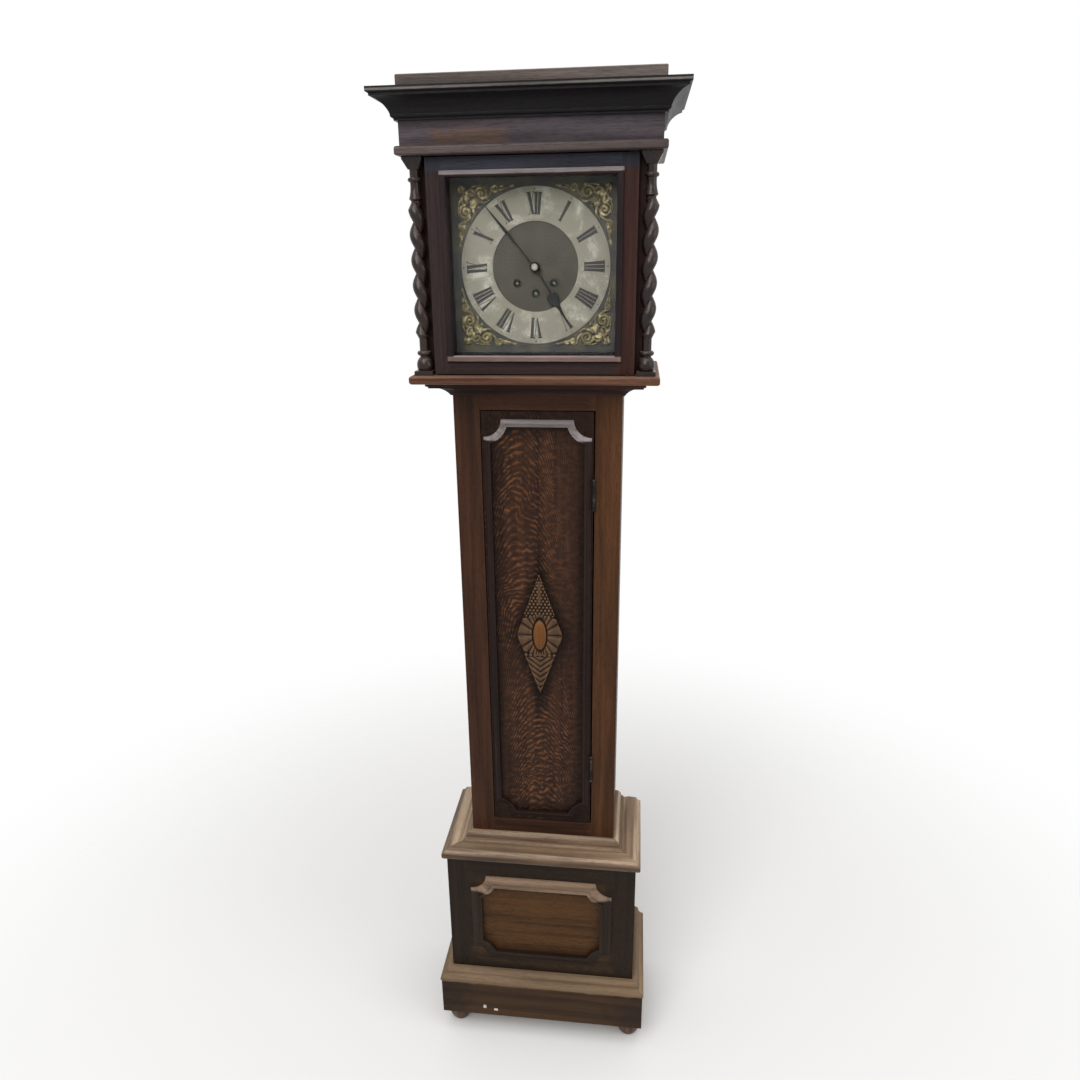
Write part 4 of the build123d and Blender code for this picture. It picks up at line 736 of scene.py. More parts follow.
class Finishes:
    """The oaks and metals that several sub-assemblies share."""

    dark_oak = OakFinish(
        "dark oak", Grain.ACROSS, (30, 21, 22), (58, 41, 38), (86, 58, 44), pale_share=0.3
    )
    plinth_oak = OakFinish(
        "plinth oak", Grain.ACROSS, (52, 35, 23), (100, 68, 42), (138, 98, 62), pale_share=0.4
    )
    inner_oak = OakFinish(
        "unpolished oak", Grain.UPRIGHT, (92, 72, 52), (140, 114, 84), (168, 140, 106),
        pale_share=0.4, matt=0.62,
    )
    brass = MetalFinish(
        "movement brass", (190, 158, 92), (128, 100, 56), metal=0.85, matt=0.32, amount=0.35
    )
    steel = MetalFinish(
        "arbor steel", (158, 158, 160), (98, 96, 96), metal=0.9, matt=0.3, amount=0.35
    )
    black_steel = MetalFinish(
        "blackened steel", (26, 25, 27), (14, 13, 14), metal=0.55, matt=0.4, amount=0.5
    )


# Surfaces


def grid_faces(rows: int, columns: int) -> np.ndarray:
    """Quads between neighbouring points of a grid stored row by row."""
    corner = (np.arange(rows - 1)[:, None] * columns + np.arange(columns - 1)[None, :]).ravel()
    return np.stack([corner, corner + 1, corner + columns + 1, corner + columns], axis=1)


def make_piece(
    name: str,
    points: np.ndarray,
    faces: list[list[int]],
    material: bpy.types.Material,
    body: str,
    smooth: bool = True,
) -> bpy.types.Object:
    """Makes an object from arrays and hangs it on its body.

    Args:
        name: The piece's name.
        points: Its points, n by 3, in metres.
        faces: Its faces as lists of point numbers.
        material: What it is finished in.
        body: The body that carries it.
        smooth: Whether its faces are shaded smoothly.

    Returns:
        The new object.
    """
    mesh = bpy.data.meshes.new(name)
    mesh.from_pydata(points.tolist(), [], faces)
    mesh.polygons.foreach_set("use_smooth", np.full(len(mesh.polygons), smooth))
    mesh.update()
    mesh.materials.append(material)
    piece = bpy.data.objects.new(name, mesh)
    bpy.context.scene.collection.objects.link(piece)
    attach(piece, body)
    return piece


def turn_outwards(piece: bpy.types.Object) -> None:
    """Turns a closed piece's faces outwards."""
    work = bmesh.new()
    work.from_mesh(piece.data)
    bmesh.ops.recalc_face_normals(work, faces=work.faces)
    work.to_mesh(piece.data)
    work.free()
    piece.data.update()


def dome(away: np.ndarray, radius: float, height: float) -> np.ndarray:
    """Half an ellipse: its full height at no distance and none from the radius outwards."""
    return height * np.sqrt(np.clip(1 - (away / radius) ** 2, 0, None))


def ridge(points: np.ndarray, path: np.ndarray, half: float, height: float) -> np.ndarray:
    """Height of a ridge along a path: a dome across it, with a fine groove along its crest.

    Args:
        points: Places, n by 2.
        path: The path's points, m by 2.
        half: The ridge's half-width.
        height: Its height at the crest.

    Returns:
        The height at each place.
    """
    away = np.sqrt(((points[:, None, :] - path[None, :, :]) ** 2).sum(-1)).min(1)
    rise = dome(away, half, height)
    return rise - GROOVE * height * np.exp(-((away / (GROOVE * half)) ** 2)) * (rise > 0)


def spiral(centre: tuple[float, float], outer: float, start: float, turns: float) -> np.ndarray:
    """A volute: a circle whose radius shrinks evenly with the angle to about a sixth.

    Args:
        centre: Its centre.
        outer: Its first radius.
        start: The angle that it starts at.
        turns: How many turns it makes.

    Returns:
        Its points, n by 2.
    """
    share = np.linspace(0, 1, SPIRAL_POINTS)
    angle = start + turns * 2 * np.pi * share
    radius = outer * (1 - SPIRAL_SHRINK * share)
    return np.stack([centre[0] + radius * np.cos(angle), centre[1] + radius * np.sin(angle)], 1)


def arch(
    first: tuple[float, float], pull: tuple[float, float], last: tuple[float, float],
) -> np.ndarray:
    """A curve from one point to another, pulled towards a third."""
    share = np.linspace(0, 1, ARCH_POINTS)[:, None]
    a, b, c = (np.array(point) for point in (first, pull, last))
    return (1 - share) ** 2 * a + 2 * share * (1 - share) * b + share**2 * c


def lobe(
    points: np.ndarray, centre: tuple[
        float, float,
    ], along: float, across: float, angle: float, height: float
) -> np.ndarray:
    """Height of a leaf lobe: half an ellipsoid on its side, turned by an angle, with a cut vein."""
    flat = points - np.array(centre)
    u = flat[:, 0] * math.cos(angle) + flat[:, 1] * math.sin(angle)
    v = flat[:, 1] * math.cos(angle) - flat[:, 0] * math.sin(angle)
    rise = height * np.sqrt(np.clip(1 - (u / along) ** 2 - (v / across) ** 2, 0, None))
    vein = VEIN_DEPTH * height * np.exp(-((v / (VEIN_WIDTH * across)) ** 2))
    return rise - vein * (rise > 0)


# The clock


class Clock:
    """What every sub-assembly reads: the CAD nodes and the shared effects."""

    nodes: dict[str, bpy.types.Object] = {}
    effects: Effects


@dataclass
class SubAssembly:
    """One part of the clock that dresses itself."""

    def build(self) -> None:
        """Makes the sub-assembly's own pieces and finishes its nodes."""
        raise NotImplementedError

    def wood(self, base: OakFinish, *names: str, **changes: Any) -> None:
        """Finishes nodes in one oak.

        Args:
            base: The oak that theirs is a kind of.
            names: The nodes.
            changes: The fields in which theirs differs.
        """
        coat(names, replace(base, **changes).make(Clock.effects))

    def metal(self, base: MetalFinish, *names: str, **changes: Any) -> None:
        """Finishes nodes in one metal.

        Args:
            base: The metal that theirs is a kind of.
            names: The nodes.
            changes: The fields in which theirs differs.
        """
        coat(names, replace(base, **changes).make(Clock.effects))


@dataclass
class Plinth(SubAssembly):
    """Feet, skirting, box and panel moulding."""

    half_width: float = 0.192
    front_depth: float = 205.0
    panel_middle: float = 0.303
    stile_line: float = 0.150

    def build(self) -> None:
        """Golden oak in the middle, darker towards the ends, and chips in the skirting."""
        oak = Finishes.plinth_oak
        front = depth_y(self.front_depth)
        self.wood(
            oak, "bun_feet", name="turned foot oak", grain=Grain.UPRIGHT, dark=(72, 56, 46),
            mid=(112, 90, 76), pale=(140, 116, 98), seed=1.0, matt=0.5,
        )
        golden = ((66, 46, 29), (88, 62, 38))
        chip = ((222, 210, 192), (230, 220, 205))
        skirt_front = depth_y(229)
        self.wood(
            oak, "skirt_boards", name="skirting oak", grain=Grain.WRAPPED,
            corner=(self.half_width, front), dark=(34, 23, 16), mid=(46, 32, 23), pale=(68, 47, 31),
            seed=2.0, dust=0.3, dust_colour=(150, 128, 102),
            patches=(
                Patch((0.0, skirt_front, 0.095), (0.115, 0.02, 0.05), 0.09, *golden),
                Patch((0.0, 0.0, 0.156), (0.3, 0.3, 0.013), 0.006, (124, 101, 79), (170, 144, 116)),
                Patch((-0.122, skirt_front, 0.077), (0.0025, 0.004, 0.0035), 0.0015, *chip),
                Patch((-0.098, skirt_front, 0.071), (0.003, 0.004, 0.002), 0.0015, *chip),
            ),
        )
        self.wood(
            oak, "plinth_front", name="plinth front oak", grain=Grain.FRAMED, stile=self.stile_line,
            dark=(32, 24, 18), mid=(37, 27, 20), pale=(54, 39, 28), pale_share=0.3, seed=3.0,
            relief=0.0004,
            patches=(
                Patch((0.0, front, 0.212), (0.13, 0.03, 0.012), 0.03, (62, 46, 32), (80, 58, 40)),
                Patch((0.0, front, 0.306), (0.100, 0.03, 0.060), 0.05, (82, 54, 29), (98, 67, 37)),
            ),
        )
        self.wood(
            oak, "plinth_side_left", "plinth_side_right", name="plinth side oak",
            grain=Grain.UPRIGHT, dark=(38, 26, 20), mid=(70, 49, 36), pale=(98, 70, 50), seed=4.0,
        )
        self.wood(
            oak, "plinth_panel_moulding", name="plinth panel moulding oak", grain=Grain.MITRED,
            stile=0.145, rail=0.106, middle=self.panel_middle, dark=(30, 22, 17), mid=(46, 34, 26),
            pale=(64, 48, 36), seed=5.0, matt=0.36,
            patches=(
                # Pale top bar: a painted highlight where light falls on its top faces.
                Patch(
                    (0.0, front, 0.393), (0.16, 0.02, 0.019), 0.006, (142, 118, 98),
                    (164, 140, 120),
                ),
            ),
        )
        # Paled on faces that look up: dustiness, with a painted highlight along the nose.
        self.wood(
            oak, "plinth_top_moulding", name="plinth top moulding oak", grain=Grain.WRAPPED,
            corner=(self.half_width, front), dark=(58, 42, 31), mid=(124, 99, 76),
            pale=(196, 170, 142), pale_share=0.85, dust=0.2, dust_colour=(160, 136, 112), seed=6.0,
            matt=0.34, gloss=0.25,
        )
        self.wood(Finishes.inner_oak, "plinth_floor", name="floor oak", grain=Grain.ACROSS)


@dataclass
class Trunk(SubAssembly):
    """Trunk sides, front frame, backboard and the moulding that carries the hood."""

    opening_half: float = 0.0995
    half_width: float = 0.145
    front_depth: float = 158.0

    def build(self) -> None:
        """Dark left stile, golden right stile, a moulding paler on faces that look up."""
        oak = Finishes.dark_oak
        front = depth_y(self.front_depth)
        self.wood(
            oak, "trunk_front_frame", name="trunk frame oak", grain=Grain.FRAMED,
            stile=self.opening_half, dark=(42, 26, 18), mid=(68, 42, 29), pale=(86, 56, 38),
            seed=11.0,
            patches=(
                Patch((0.125, front, 0.9), (0.022, 0.03, 0.6), 0.02, (82, 52, 32), (102, 68, 41)),
            ),
        )
        self.wood(
            oak, "trunk_side_left", "trunk_side_right", name="trunk side oak", grain=Grain.UPRIGHT,
            dark=(36, 24, 20), mid=(62, 42, 32), pale=(86, 60, 44), seed=12.0,
        )
        self.wood(Finishes.inner_oak, "backboard", name="backboard oak", seed=13.0)
        self.wood(
            oak, "hood_support_moulding", name="hood support oak", grain=Grain.WRAPPED,
            corner=(self.half_width, front), dark=(36, 25, 24), mid=(62, 43, 38), pale=(88, 62, 50),
            dust=0.5, seed=14.0,
        )
        self.wood(
            Finishes.inner_oak, "seatboard", name="seatboard oak", grain=Grain.ACROSS, seed=15.0,
        )


@dataclass
class TrunkDoor(SubAssembly):
    """The panelled door, its carved diamond, lock and hinges. The carving is in millimetres."""

    diamond_centre: float = 0.938
    diamond_half: tuple[float, float] = (44.0, 125.0)
    boss_half: tuple[float, float] = (12.5, 31.0)
    base_height: float = 2.2
    face_depth: float = 158.0
    grid_count: int = 190
    boss_rise = 6.4
    bars, bar_rise, bar_power, bar_start, bar_ramp = 22, 3.4, 0.55, 1.06, 0.2
    bar_top, bar_slope = 44, 0.35
    berry_radius, berry_pitch, berry_rows, berries_from = 3.3, 7.0, 6.2, 38
    leaf_half, leaf_rise, leaf_from, leaf_to = 4.6, 2.6, 62, 108
    chevron_rise, chevron_power, chevron_pitch, chevron_slope = 3.0, 0.6, 11.0, 0.8
    bead_rise, bead_radius, bead_pitch, bead_line = 3.3, 4.4, 9.0, -42
    chevrons_from, beads_from = -46, -37
    edge_fade = 0.05
    rim_rise, rim_line, rim_width, rim_from = 1.6, 0.035, 0.03, 40

    def build(self) -> None:
        """Flecked door, moulding with a painted highlight on its top bar, carved diamond, steel
        hinges.
        """
        oak = Finishes.dark_oak
        self.wood(
            oak, "trunk_door", name="door oak", grain=Grain.UPRIGHT, dark=(32, 20, 17),
            mid=(52, 34, 26), pale=(76, 48, 32), pale_share=0.3, fleck=0.8, seed=21.0,
            # The halo paints shadow round the carved diamond, with a darker stain.
            halo=(0.047, 0.135, self.diamond_centre), vignette=(0.083, 0.395, 0.937),
        )
        self.wood(
            oak, "door_panel_moulding", name="door moulding oak", grain=Grain.MITRED, stile=0.094,
            rail=0.407, middle=0.937, dark=(26, 17, 15), mid=(40, 27, 23), pale=(56, 40, 32),
            seed=22.0, matt=0.36,
            patches=(
                # Pale top bar: a painted highlight where light falls on its top faces.
                Patch(
                    (0.0, depth_y(162), 1.328), (0.12, 0.02, 0.018), 0.004, (146, 137, 136),
                    (176, 168, 166),
                ),
            ),
        )
        self.carve_diamond()
        self.metal(
            Finishes.black_steel, "trunk_hinge_case_leaves", "trunk_hinge_door_leaves",
            "trunk_hinge_pins", name="hinge steel", clean=(62, 52, 46),
        )
        self.metal(Finishes.black_steel, "door_lock", name="lock steel", clean=(72, 58, 42))
        self.metal(Finishes.steel, "lock_bolt", name="bolt steel")

    def diamond_relief(self, u: np.ndarray, v: np.ndarray) -> np.ndarray:
        """Height of the carving over the door.

        The highest of six forms on a flat bed: a domed oval boss, bars that stand out round it like
        rays, staggered berries and an upright leaf above, a row of beads and chevrons below. They
        fade towards the diamond's edge, which has a low rim above and below the bars.

        Args:
            u: Distance to the right of the middle, in millimetres.
            v: Distance above the middle, in millimetres.

        Returns:
            Height over the door in millimetres.
        """
        half_u, half_v = self.diamond_half
        edge = 1 - (np.abs(u) / half_u + np.abs(v) / half_v)
        a, c = self.boss_half
        ring = np.sqrt((u / a) ** 2 + (v / c) ** 2)
        turn = np.arctan2(v / c, u / a)
        bars = self.bar_rise * np.abs(np.sin(turn * self.bars / 2)) ** self.bar_power
        bars = bars * np.clip((ring - self.bar_start) / self.bar_ramp, 0, 1)
        row = np.round((v - self.bar_top) / self.berry_rows)
        stagger = (row % 2) / 2
        pitch = self.berry_pitch
        aside = u - pitch * (np.round(u / pitch - stagger) + stagger)
        berry = np.hypot(aside, v - self.bar_top - self.berry_rows * row)
        fall = -v - self.bar_top + self.chevron_slope * np.abs(u)
        chevrons = np.abs(np.sin(fall * np.pi / self.chevron_pitch)) ** self.chevron_power
        bead = np.hypot(u - self.bead_pitch * np.round(u / self.bead_pitch), v - self.bead_line)
        carved = np.maximum.reduce([
            dome(ring, 1.0, self.boss_rise),
            bars * (np.abs(v) < self.bar_top - self.bar_slope * np.abs(u)),
            dome(berry, self.berry_radius, self.berry_radius) * (v > self.berries_from),
            dome(u, self.leaf_half, self.leaf_rise) * ((v > self.leaf_from) & (v < self.leaf_to)),
            self.chevron_rise * chevrons * (v < self.chevrons_from),
            dome(bead, self.bead_radius, self.bead_rise) * (v < self.beads_from),
        ])
        fade = np.clip(edge / self.edge_fade, 0, 1) ** 0.5
        rim = self.rim_rise * np.exp(-(((edge - self.rim_line) / self.rim_width) ** 2))
        return self.base_height + carved * fade + rim * (np.abs(v) > self.rim_from)

    def carve_diamond(self) -> None:
        """Lays a grid along the diamond's own edges, with its outermost ring on the door."""
        line = np.concatenate([[-1.0], np.linspace(-1, 1, self.grid_count), [1.0]])
        a, b = np.meshgrid(line, line, indexing="ij")
        u = self.diamond_half[0] * (a - b) / 2
        v = self.diamond_half[1] * (a + b) / 2
        height = self.diamond_relief(u, v)
        height[0, :] = height[-1, :] = height[:, 0] = height[:, -1] = 0.0
        x = u.ravel() * MM
        z = self.diamond_centre + v.ravel() * MM
        y = FRONT_OF_BACK - (self.face_depth + height.ravel()) * MM
        size = self.grid_count + 2
        faces = grid_faces(size, size).tolist()
        index = np.arange(size * size).reshape(size, size)
        loop = np.concatenate([index[0, :-1], index[:-1, -1], index[-1, :0:-1], index[:0:-1, 0]])
        faces.append(loop[::-1].tolist())
        finish = replace(
            Finishes.dark_oak, name="carved oak", grain=Grain.UPRIGHT, dark=(48, 32, 22),
            mid=(82, 56, 38), pale=(110, 78, 52), pale_share=0.5, matt=0.3, gloss=0.12, seed=23.0,
            carving=(self.face_depth + 2.2, self.face_depth + 5.3, self.face_depth + 7.0),
            # Crest colour: worn, with a painted highlight.
            crest_wear_and_highlight=(116, 93, 72),
            patches=(
                Patch(
                    (0.0, depth_y(166), self.diamond_centre), (0.009, 0.02, 0.026), 0.008,
                    (118, 74, 36), (142, 92, 48),
                ),
            ),
        )
        points = np.stack([x, y, z], 1)
        piece = make_piece(
            "carved_diamond", points, faces, finish.make(Clock.effects), "trunk_door",
        )
        turn_outwards(piece)
        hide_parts("diamond_applique")


@dataclass
class Hood(SubAssembly):
    """Base, sides, twist columns, mask, frieze, cornice and top."""

    frieze_half: float = 0.197
    frieze_depth: float = 211.5

    def build(self) -> None:
        """Near-black oak with a reddish base and an orange streak in the frieze."""
        oak = Finishes.dark_oak
        corner = (self.frieze_half, depth_y(self.frieze_depth))
        self.wood(
            oak, "hood_base", name="hood base oak", grain=Grain.WRAPPED,
            corner=(0.175, depth_y(182)), dark=(58, 37, 28), mid=(108, 74, 56), pale=(152, 112, 86),
            dust=0.35, seed=31.0,
        )
        self.wood(
            oak, "hood_side_left", "hood_side_right", name="hood side oak", grain=Grain.UPRIGHT,
            seed=32.0,
        )
        self.wood(
            oak, "hood_top_frame", name="hood top frame oak", grain=Grain.WRAPPED, corner=corner,
            dark=(46, 38, 38), mid=(74, 63, 61), pale=(104, 90, 86), seed=33.0, gloss=0.2,
        )
        self.wood(
            oak, "frieze", name="frieze oak", grain=Grain.WRAPPED, corner=corner, dark=(48, 42, 46),
            mid=(78, 70, 74), pale=(112, 84, 70), pale_share=0.4, seed=34.0,
            patches=(
                Patch(
                    (-0.09, depth_y(211), 1.775), (0.045, 0.01, 0.001), 0.02, (90, 70, 62),
                    (126, 88, 64),
                ),
            ),
        )
        self.wood(
            oak, "cornice", name="cornice oak", grain=Grain.WRAPPED, corner=corner,
            dark=(18, 16, 18), mid=(26, 24, 26), pale=(38, 34, 35), seed=35.0,
            patches=(
                Patch(
                    (0.0, depth_y(248), 1.8368), (0.3, 0.004, 0.0008), 0.0012, (104, 98, 94),
                    (126, 118, 112),
                ),
            ),
        )
        self.wood(
            oak, "capping_board", name="capping oak", dark=(70, 62, 59), mid=(104, 94, 90),
            seed=36.0, dust=0.4,
        )
        # The twists are paled on faces that look up: a painted highlight on the glossy beads, with
        # dustiness.
        self.wood(
            oak, "twist_column_left", "twist_column_right", name="twist column oak",
            grain=Grain.UPRIGHT, dark=(20, 12, 10), mid=(40, 26, 20), pale=(70, 46, 34), matt=0.2,
            gloss=0.3, dust=0.35, dust_colour=(116, 92, 78), seed=37.0,
        )
        self.wood(
            oak, "dial_mask", name="mask oak", grain=Grain.FRAMED, stile=0.134, dark=(22, 20, 22),
            mid=(34, 31, 34), pale=(48, 42, 42), seed=38.0,
        )
        self.metal(
            Finishes.black_steel, "hood_pivot_plates", name="pivot plate steel", clean=(58, 46, 34),
        )


@dataclass
class HoodDoor(SubAssembly):
    """The glazed door in front of the dial."""

    stile_line: float = 0.138

    def build(self) -> None:
        """Dark frame with a redder right stile, thin bead, clear glass."""
        oak = Finishes.dark_oak
        front = depth_y(200)
        self.wood(
            oak, "hood_door_frame", name="hood door oak", grain=Grain.FRAMED, stile=self.stile_line,
            dark=(36, 27, 27), mid=(52, 40, 38), pale=(72, 54, 48), seed=41.0,
            patches=(
                Patch((0.152, front, 1.59), (0.013, 0.02, 0.2), 0.01, (66, 41, 35), (84, 54, 44)),
                Patch((0.0, front, 1.745), (0.17, 0.02, 0.010), 0.008, (50, 50, 60), (62, 62, 72)),
            ),
        )
        # The bead's pale top: a painted highlight of overhead light, through the paling of faces
        # that look up.
        self.wood(
            oak, "hood_door_bead", name="bead oak", grain=Grain.MITRED, stile=0.131, rail=0.1335,
            middle=1.5885, dark=(26, 19, 20), mid=(42, 32, 33), pale=(66, 50, 46), dust=0.9,
            dust_colour=(142, 130, 128), seed=42.0,
            patches=(
                # Pale line along the top bar: a painted highlight.
                Patch(
                    (0.0, depth_y(204), 1.7285), (0.2, 0.01, 0.0018), 0.0015, (140, 132, 130),
                    (156, 148, 144),
                ),
                Patch(
                    (0.0, depth_y(204), 1.4510), (0.2, 0.01, 0.0030), 0.0015, (134, 110, 102),
                    (152, 128, 118),
                ),
            ),
        )
        self.metal(Finishes.brass, "hood_door_pivots", name="pivot brass")
        self.glaze("hood_door_glass")

    def glaze(self, name: str) -> None:
        """Clear glass that lets light through to the dial."""
        coating = Coating("door glass", Roughness=0.02, IOR=1.12, Transmission_Weight=1.0)
        bench = coating.bench
        smear = bench.noise(coating.place, (14.0, 14.0, 9.0), 3.0)
        tint = bench.blend(bench.step(smear, 0.35, 0.75), tone(250, 252, 250), tone(240, 244, 238))
        coating.feed("Base Color", tint)
        clear = bench.put("ShaderNodeBsdfTransparent").outputs[0]
        shadow = bench.put("ShaderNodeLightPath").outputs["Is Shadow Ray"]
        mixed = bench.put(
            "ShaderNodeMixShader", {0: shadow, 1: coating.shader.outputs[0], 2: clear},
        )
        bench.tree.links.new(mixed.outputs[0], coating.output.inputs["Surface"])
        coat((name,), coating.material)


@dataclass
class Dial(SubAssembly):
    """Plate, silvered ring with its numerals, and corner ornaments, all in millimetres.

    A lozenge or a bar is a list of points as the radius and the distance aside. A scroll of a
    corner is a path, its half-width and its height; a leaf is a centre, two half-lengths and an
    angle; a bud on the diagonal is its place, its half-length and its height.
    """

    plate_depth: float = 155.0
    ring_depth: float = 157.0
    foot_radius: float = 79.0
    head_radius: float = 112.0
    stem: float = 4.6
    gap: float = 0.8
    hair: float = 0.9
    serif: float = 1.0
    serif_height: float = 1.2
    v_width, v_point, v_tip, v_hair_tip = 10.2, 5.6, 0.8, (0.5, 0.4)
    x_width, x_hair = 9.6, 8.7
    lozenge = ((118.5, 0.0), (117.0, 1.5), (115.5, 0.0), (117.0, -1.5))
    bar = ((118.8, -0.45), (118.8, 0.45), (114.6, 0.45), (114.6, -0.45))
    wax_rise, wax_root = 0.12, 0.1
    stipple_light, stipple_matt, stipple_rise = (0.7, 0.6), (0.4, 0.25), 0.00012
    centre_edge = (0.071, 0.072)
    hole_edge, hole_rings = (0.0072, 0.0076), 1.6
    corner_half: float = 124.0
    corner_length, corner_width, relief_pitch = 98, 44, 0.5
    ring_reach, metal_reach = 122.6, 122.8
    no_metal, wall_foot, wall = -0.5, -0.15, 0.35
    scrolls = (
        (spiral((40.0, 13.5), 10.5, math.pi, 1.55), 2.3, 3.0),
        (spiral((62.0, 7.6), 6.0, math.pi, 1.3), 1.7, 2.4),
        (arch((16.0, 12.0), (22.0, 3.0), (30.0, 12.0)), 2.2, 2.9),
        (arch((48.0, 20.0), (54.0, 16.0), (56.5, 8.0)), 1.7, 2.5),
        (arch((67.0, 9.0), (76.0, 6.0), (90.0, 2.6)), 1.3, 1.9),
        (arch((30.0, 21.0), (42.0, 31.0), (52.0, 24.0)), 1.6, 2.3),
        (arch((24.0, 4.0), (34.0, 0.5), (46.0, 2.6)), 1.3, 2.0),
    )
    leaves = (
        ((9.0, 4.2), 6.0, 2.4, 0.25),
        ((21.0, 14.0), 7.5, 3.0, 0.35),
        ((29.0, 25.0), 7.0, 2.8, 0.62),
        ((36.0, 25.5), 5.0, 2.2, 0.1),
        ((73.0, 3.4), 4.6, 1.8, -0.1),
    )
    leaf_rise = 2.8
    buds = ((8.5, 5.6, 3.0), (17.5, 5.0, 3.3), (27.0, 5.4, 3.4))
    bud_narrowing = 0.62
    pearl, pearl_radius = 34.0, 2.6
    holes: tuple[tuple[float, float], ...] = ((0.0, -41.0), (-30.0, -25.0), (30.0, -25.0))
    numerals: tuple[str, ...] = (
        "XII", "I", "II", "III", "IIII", "V", "VI", "VII", "VIII", "IX", "X", "XI",
    )

    def build(self) -> None:
        """Matted centre, mottled silvering, black numerals, cast corners."""
        coat(("dial_plate",), self.plate_material())
        silver = MetalFinish(
            "silvered ring", (147, 144, 135), (110, 104, 94), metal=0.1, matt=0.45, amount=0.52,
            scale=30.0,
        )
        self.metal(silver, "chapter_ring")
        self.engrave()
        self.cast_corners()

    def plate_material(self) -> bpy.types.Material:
        """Brass that is matted and brown in the middle, turned round the holes, dull outside."""
        coating = Coating("dial plate brass", Metallic=0.1, Specular_IOR_Level=0.15)
        b = coating.bench
        reach = b.from_line(coating.place, 0.0, DIAL_Z)
        stipple = b.noise(coating.place, (900.0,) * 3, 2.0)
        cloud = b.noise(coating.place, (40.0,) * 3, 4.0)
        centre = b.blend(b.step(cloud, 0.35, 0.65), tone(58, 53, 48), tone(64, 59, 54))
        outside = b.blend(b.step(cloud, 0.35, 0.7), tone(56, 55, 56), tone(76, 71, 62))
        colour = b.blend(b.step(reach, *self.centre_edge), centre, outside)
        for x, z in self.holes:
            away = b.from_line(coating.place, x * MM, DIAL_Z + z * MM)
            rings = b.calc("SINE", b.times(away, 2 * math.pi / (self.hole_rings * MM)))
            near = b.rest(b.step(away, *self.hole_edge))
            ringed = b.blend(b.step(rings, -0.3, 0.3), tone(18, 17, 16), tone(44, 41, 38))
            colour = b.blend(near, colour, ringed)
        colour = b.dimmed(colour, b.line(stipple, *self.stipple_light))
        matt = b.line(stipple, *self.stipple_matt)
        return coating.finish(colour, matt, stipple, self.stipple_rise)

    def strokes(self, text: str) -> tuple[np.ndarray, float]:
        """The strokes of one numeral, side by side.

        Args:
            text: The numeral.

        Returns:
            Quads as an array of n by 4 by 2 (distance along the ring, share of the height), and the
            numeral's whole width.
        """
        stem, hair = self.stem, self.hair
        quads: list[list[tuple[float, float]]] = []
        feet: list[tuple[float, float, float]] = []
        at = 0.0
        for letter in text:
            if letter == "I":
                quads.append([(at, 1), (at + stem, 1), (at + stem, 0), (at, 0)])
                feet += [(at, at + stem, 0.0), (at, at + stem, 1.0)]
                at += stem
            elif letter == "V":
                end, low = at + self.v_width, at + self.v_point
                tip, (right, left) = self.v_tip, self.v_hair_tip
                quads.append([(at, 1), (at + stem, 1), (low + tip, 0), (low - tip, 0)])
                quads.append([(end, 1), (end + hair, 1), (low + right, 0), (low - left, 0)])
                feet += [(at, at + stem, 1.0), (end, end + hair, 1.0)]
                at = end + hair
            else:
                end, top = at + self.x_width, at + self.x_hair
                quads.append([(at, 1), (at + stem, 1), (end, 0), (end - stem, 0)])
                quads.append([(top, 1), (top + hair, 1), (at + hair, 0), (at, 0)])
                feet += [(at, at + stem, 1.0), (top, top + hair, 1.0)]
                feet += [(at, at + hair, 0.0), (end - stem, end, 0.0)]
                at = end
            at += self.gap
        thick = self.serif_height / (self.head_radius - self.foot_radius)
        for left, right, level in feet:
            low, high = (0.0, thick) if level == 0.0 else (1.0 - thick, 1.0)
            left, right = left - self.serif, right + self.serif
            quads.append([(left, high), (right, high), (right, low), (left, low)])
        return np.array(quads), at - self.gap

    def engrave(self) -> None:
        """Lays every stroke, dot and mark on the ring as a thin closed plate of black wax.

        A stroke's point at distance d along the ring and height h goes to the angle of its hour
        plus d over the middle radius, and to the radius between foot and head at h.
        """
        middle = (self.foot_radius + self.head_radius) / 2
        flat: list[np.ndarray] = []
        for hour, text in enumerate(self.numerals):
            quads, width = self.strokes(text)
            angle = hour * math.pi / 6 + (quads[..., 0] - width / 2) / middle
            radius = self.foot_radius + quads[..., 1] * (self.head_radius - self.foot_radius)
            flat.append(np.stack([radius * np.sin(angle), radius * np.cos(angle)], -1))
        for hour in range(12):
            angle = hour * math.pi / 6
            out = np.array([math.sin(angle), math.cos(angle)])
            aside = np.array([math.cos(angle), -math.sin(angle)])
            mark = np.array(self.bar if hour % 3 else self.lozenge)
            flat.append((mark[:, :1] * out + mark[:, 1:] * aside)[None])
        quads = np.concatenate(flat)
        count = len(quads)
        front, back = depth_y(self.ring_depth + self.wax_rise), depth_y(
            self.ring_depth - self.wax_root
        )
        points = np.zeros((count, 8, 3))
        points[:, :4, 0] = points[:, 4:, 0] = quads[..., 0] * MM
        points[:, :4, 2] = points[:, 4:, 2] = DIAL_Z + quads[..., 1] * MM
        points[:, :4, 1] = front
        points[:, 4:, 1] = back
        box = np.array([
            [0, 1, 2, 3], [7, 6, 5, 4], [0, 4, 5, 1], [1, 5, 6, 2], [2, 6, 7, 3], [3, 7, 4, 0],
        ])
        faces = (np.arange(count)[:, None, None] * 8 + box[None]).reshape(-1, 4)
        wax = MetalFinish(
            "numeral wax", (22, 20, 20), (44, 40, 38), metal=0.0, matt=0.5, amount=0.35,
            scale=240.0, relief=0.00002,
        )
        piece = make_piece(
            "chapter_numerals", points.reshape(-1, 3), faces.tolist(), wax.make(Clock.effects),
            "case", smooth=False,
        )
        turn_outwards(piece)

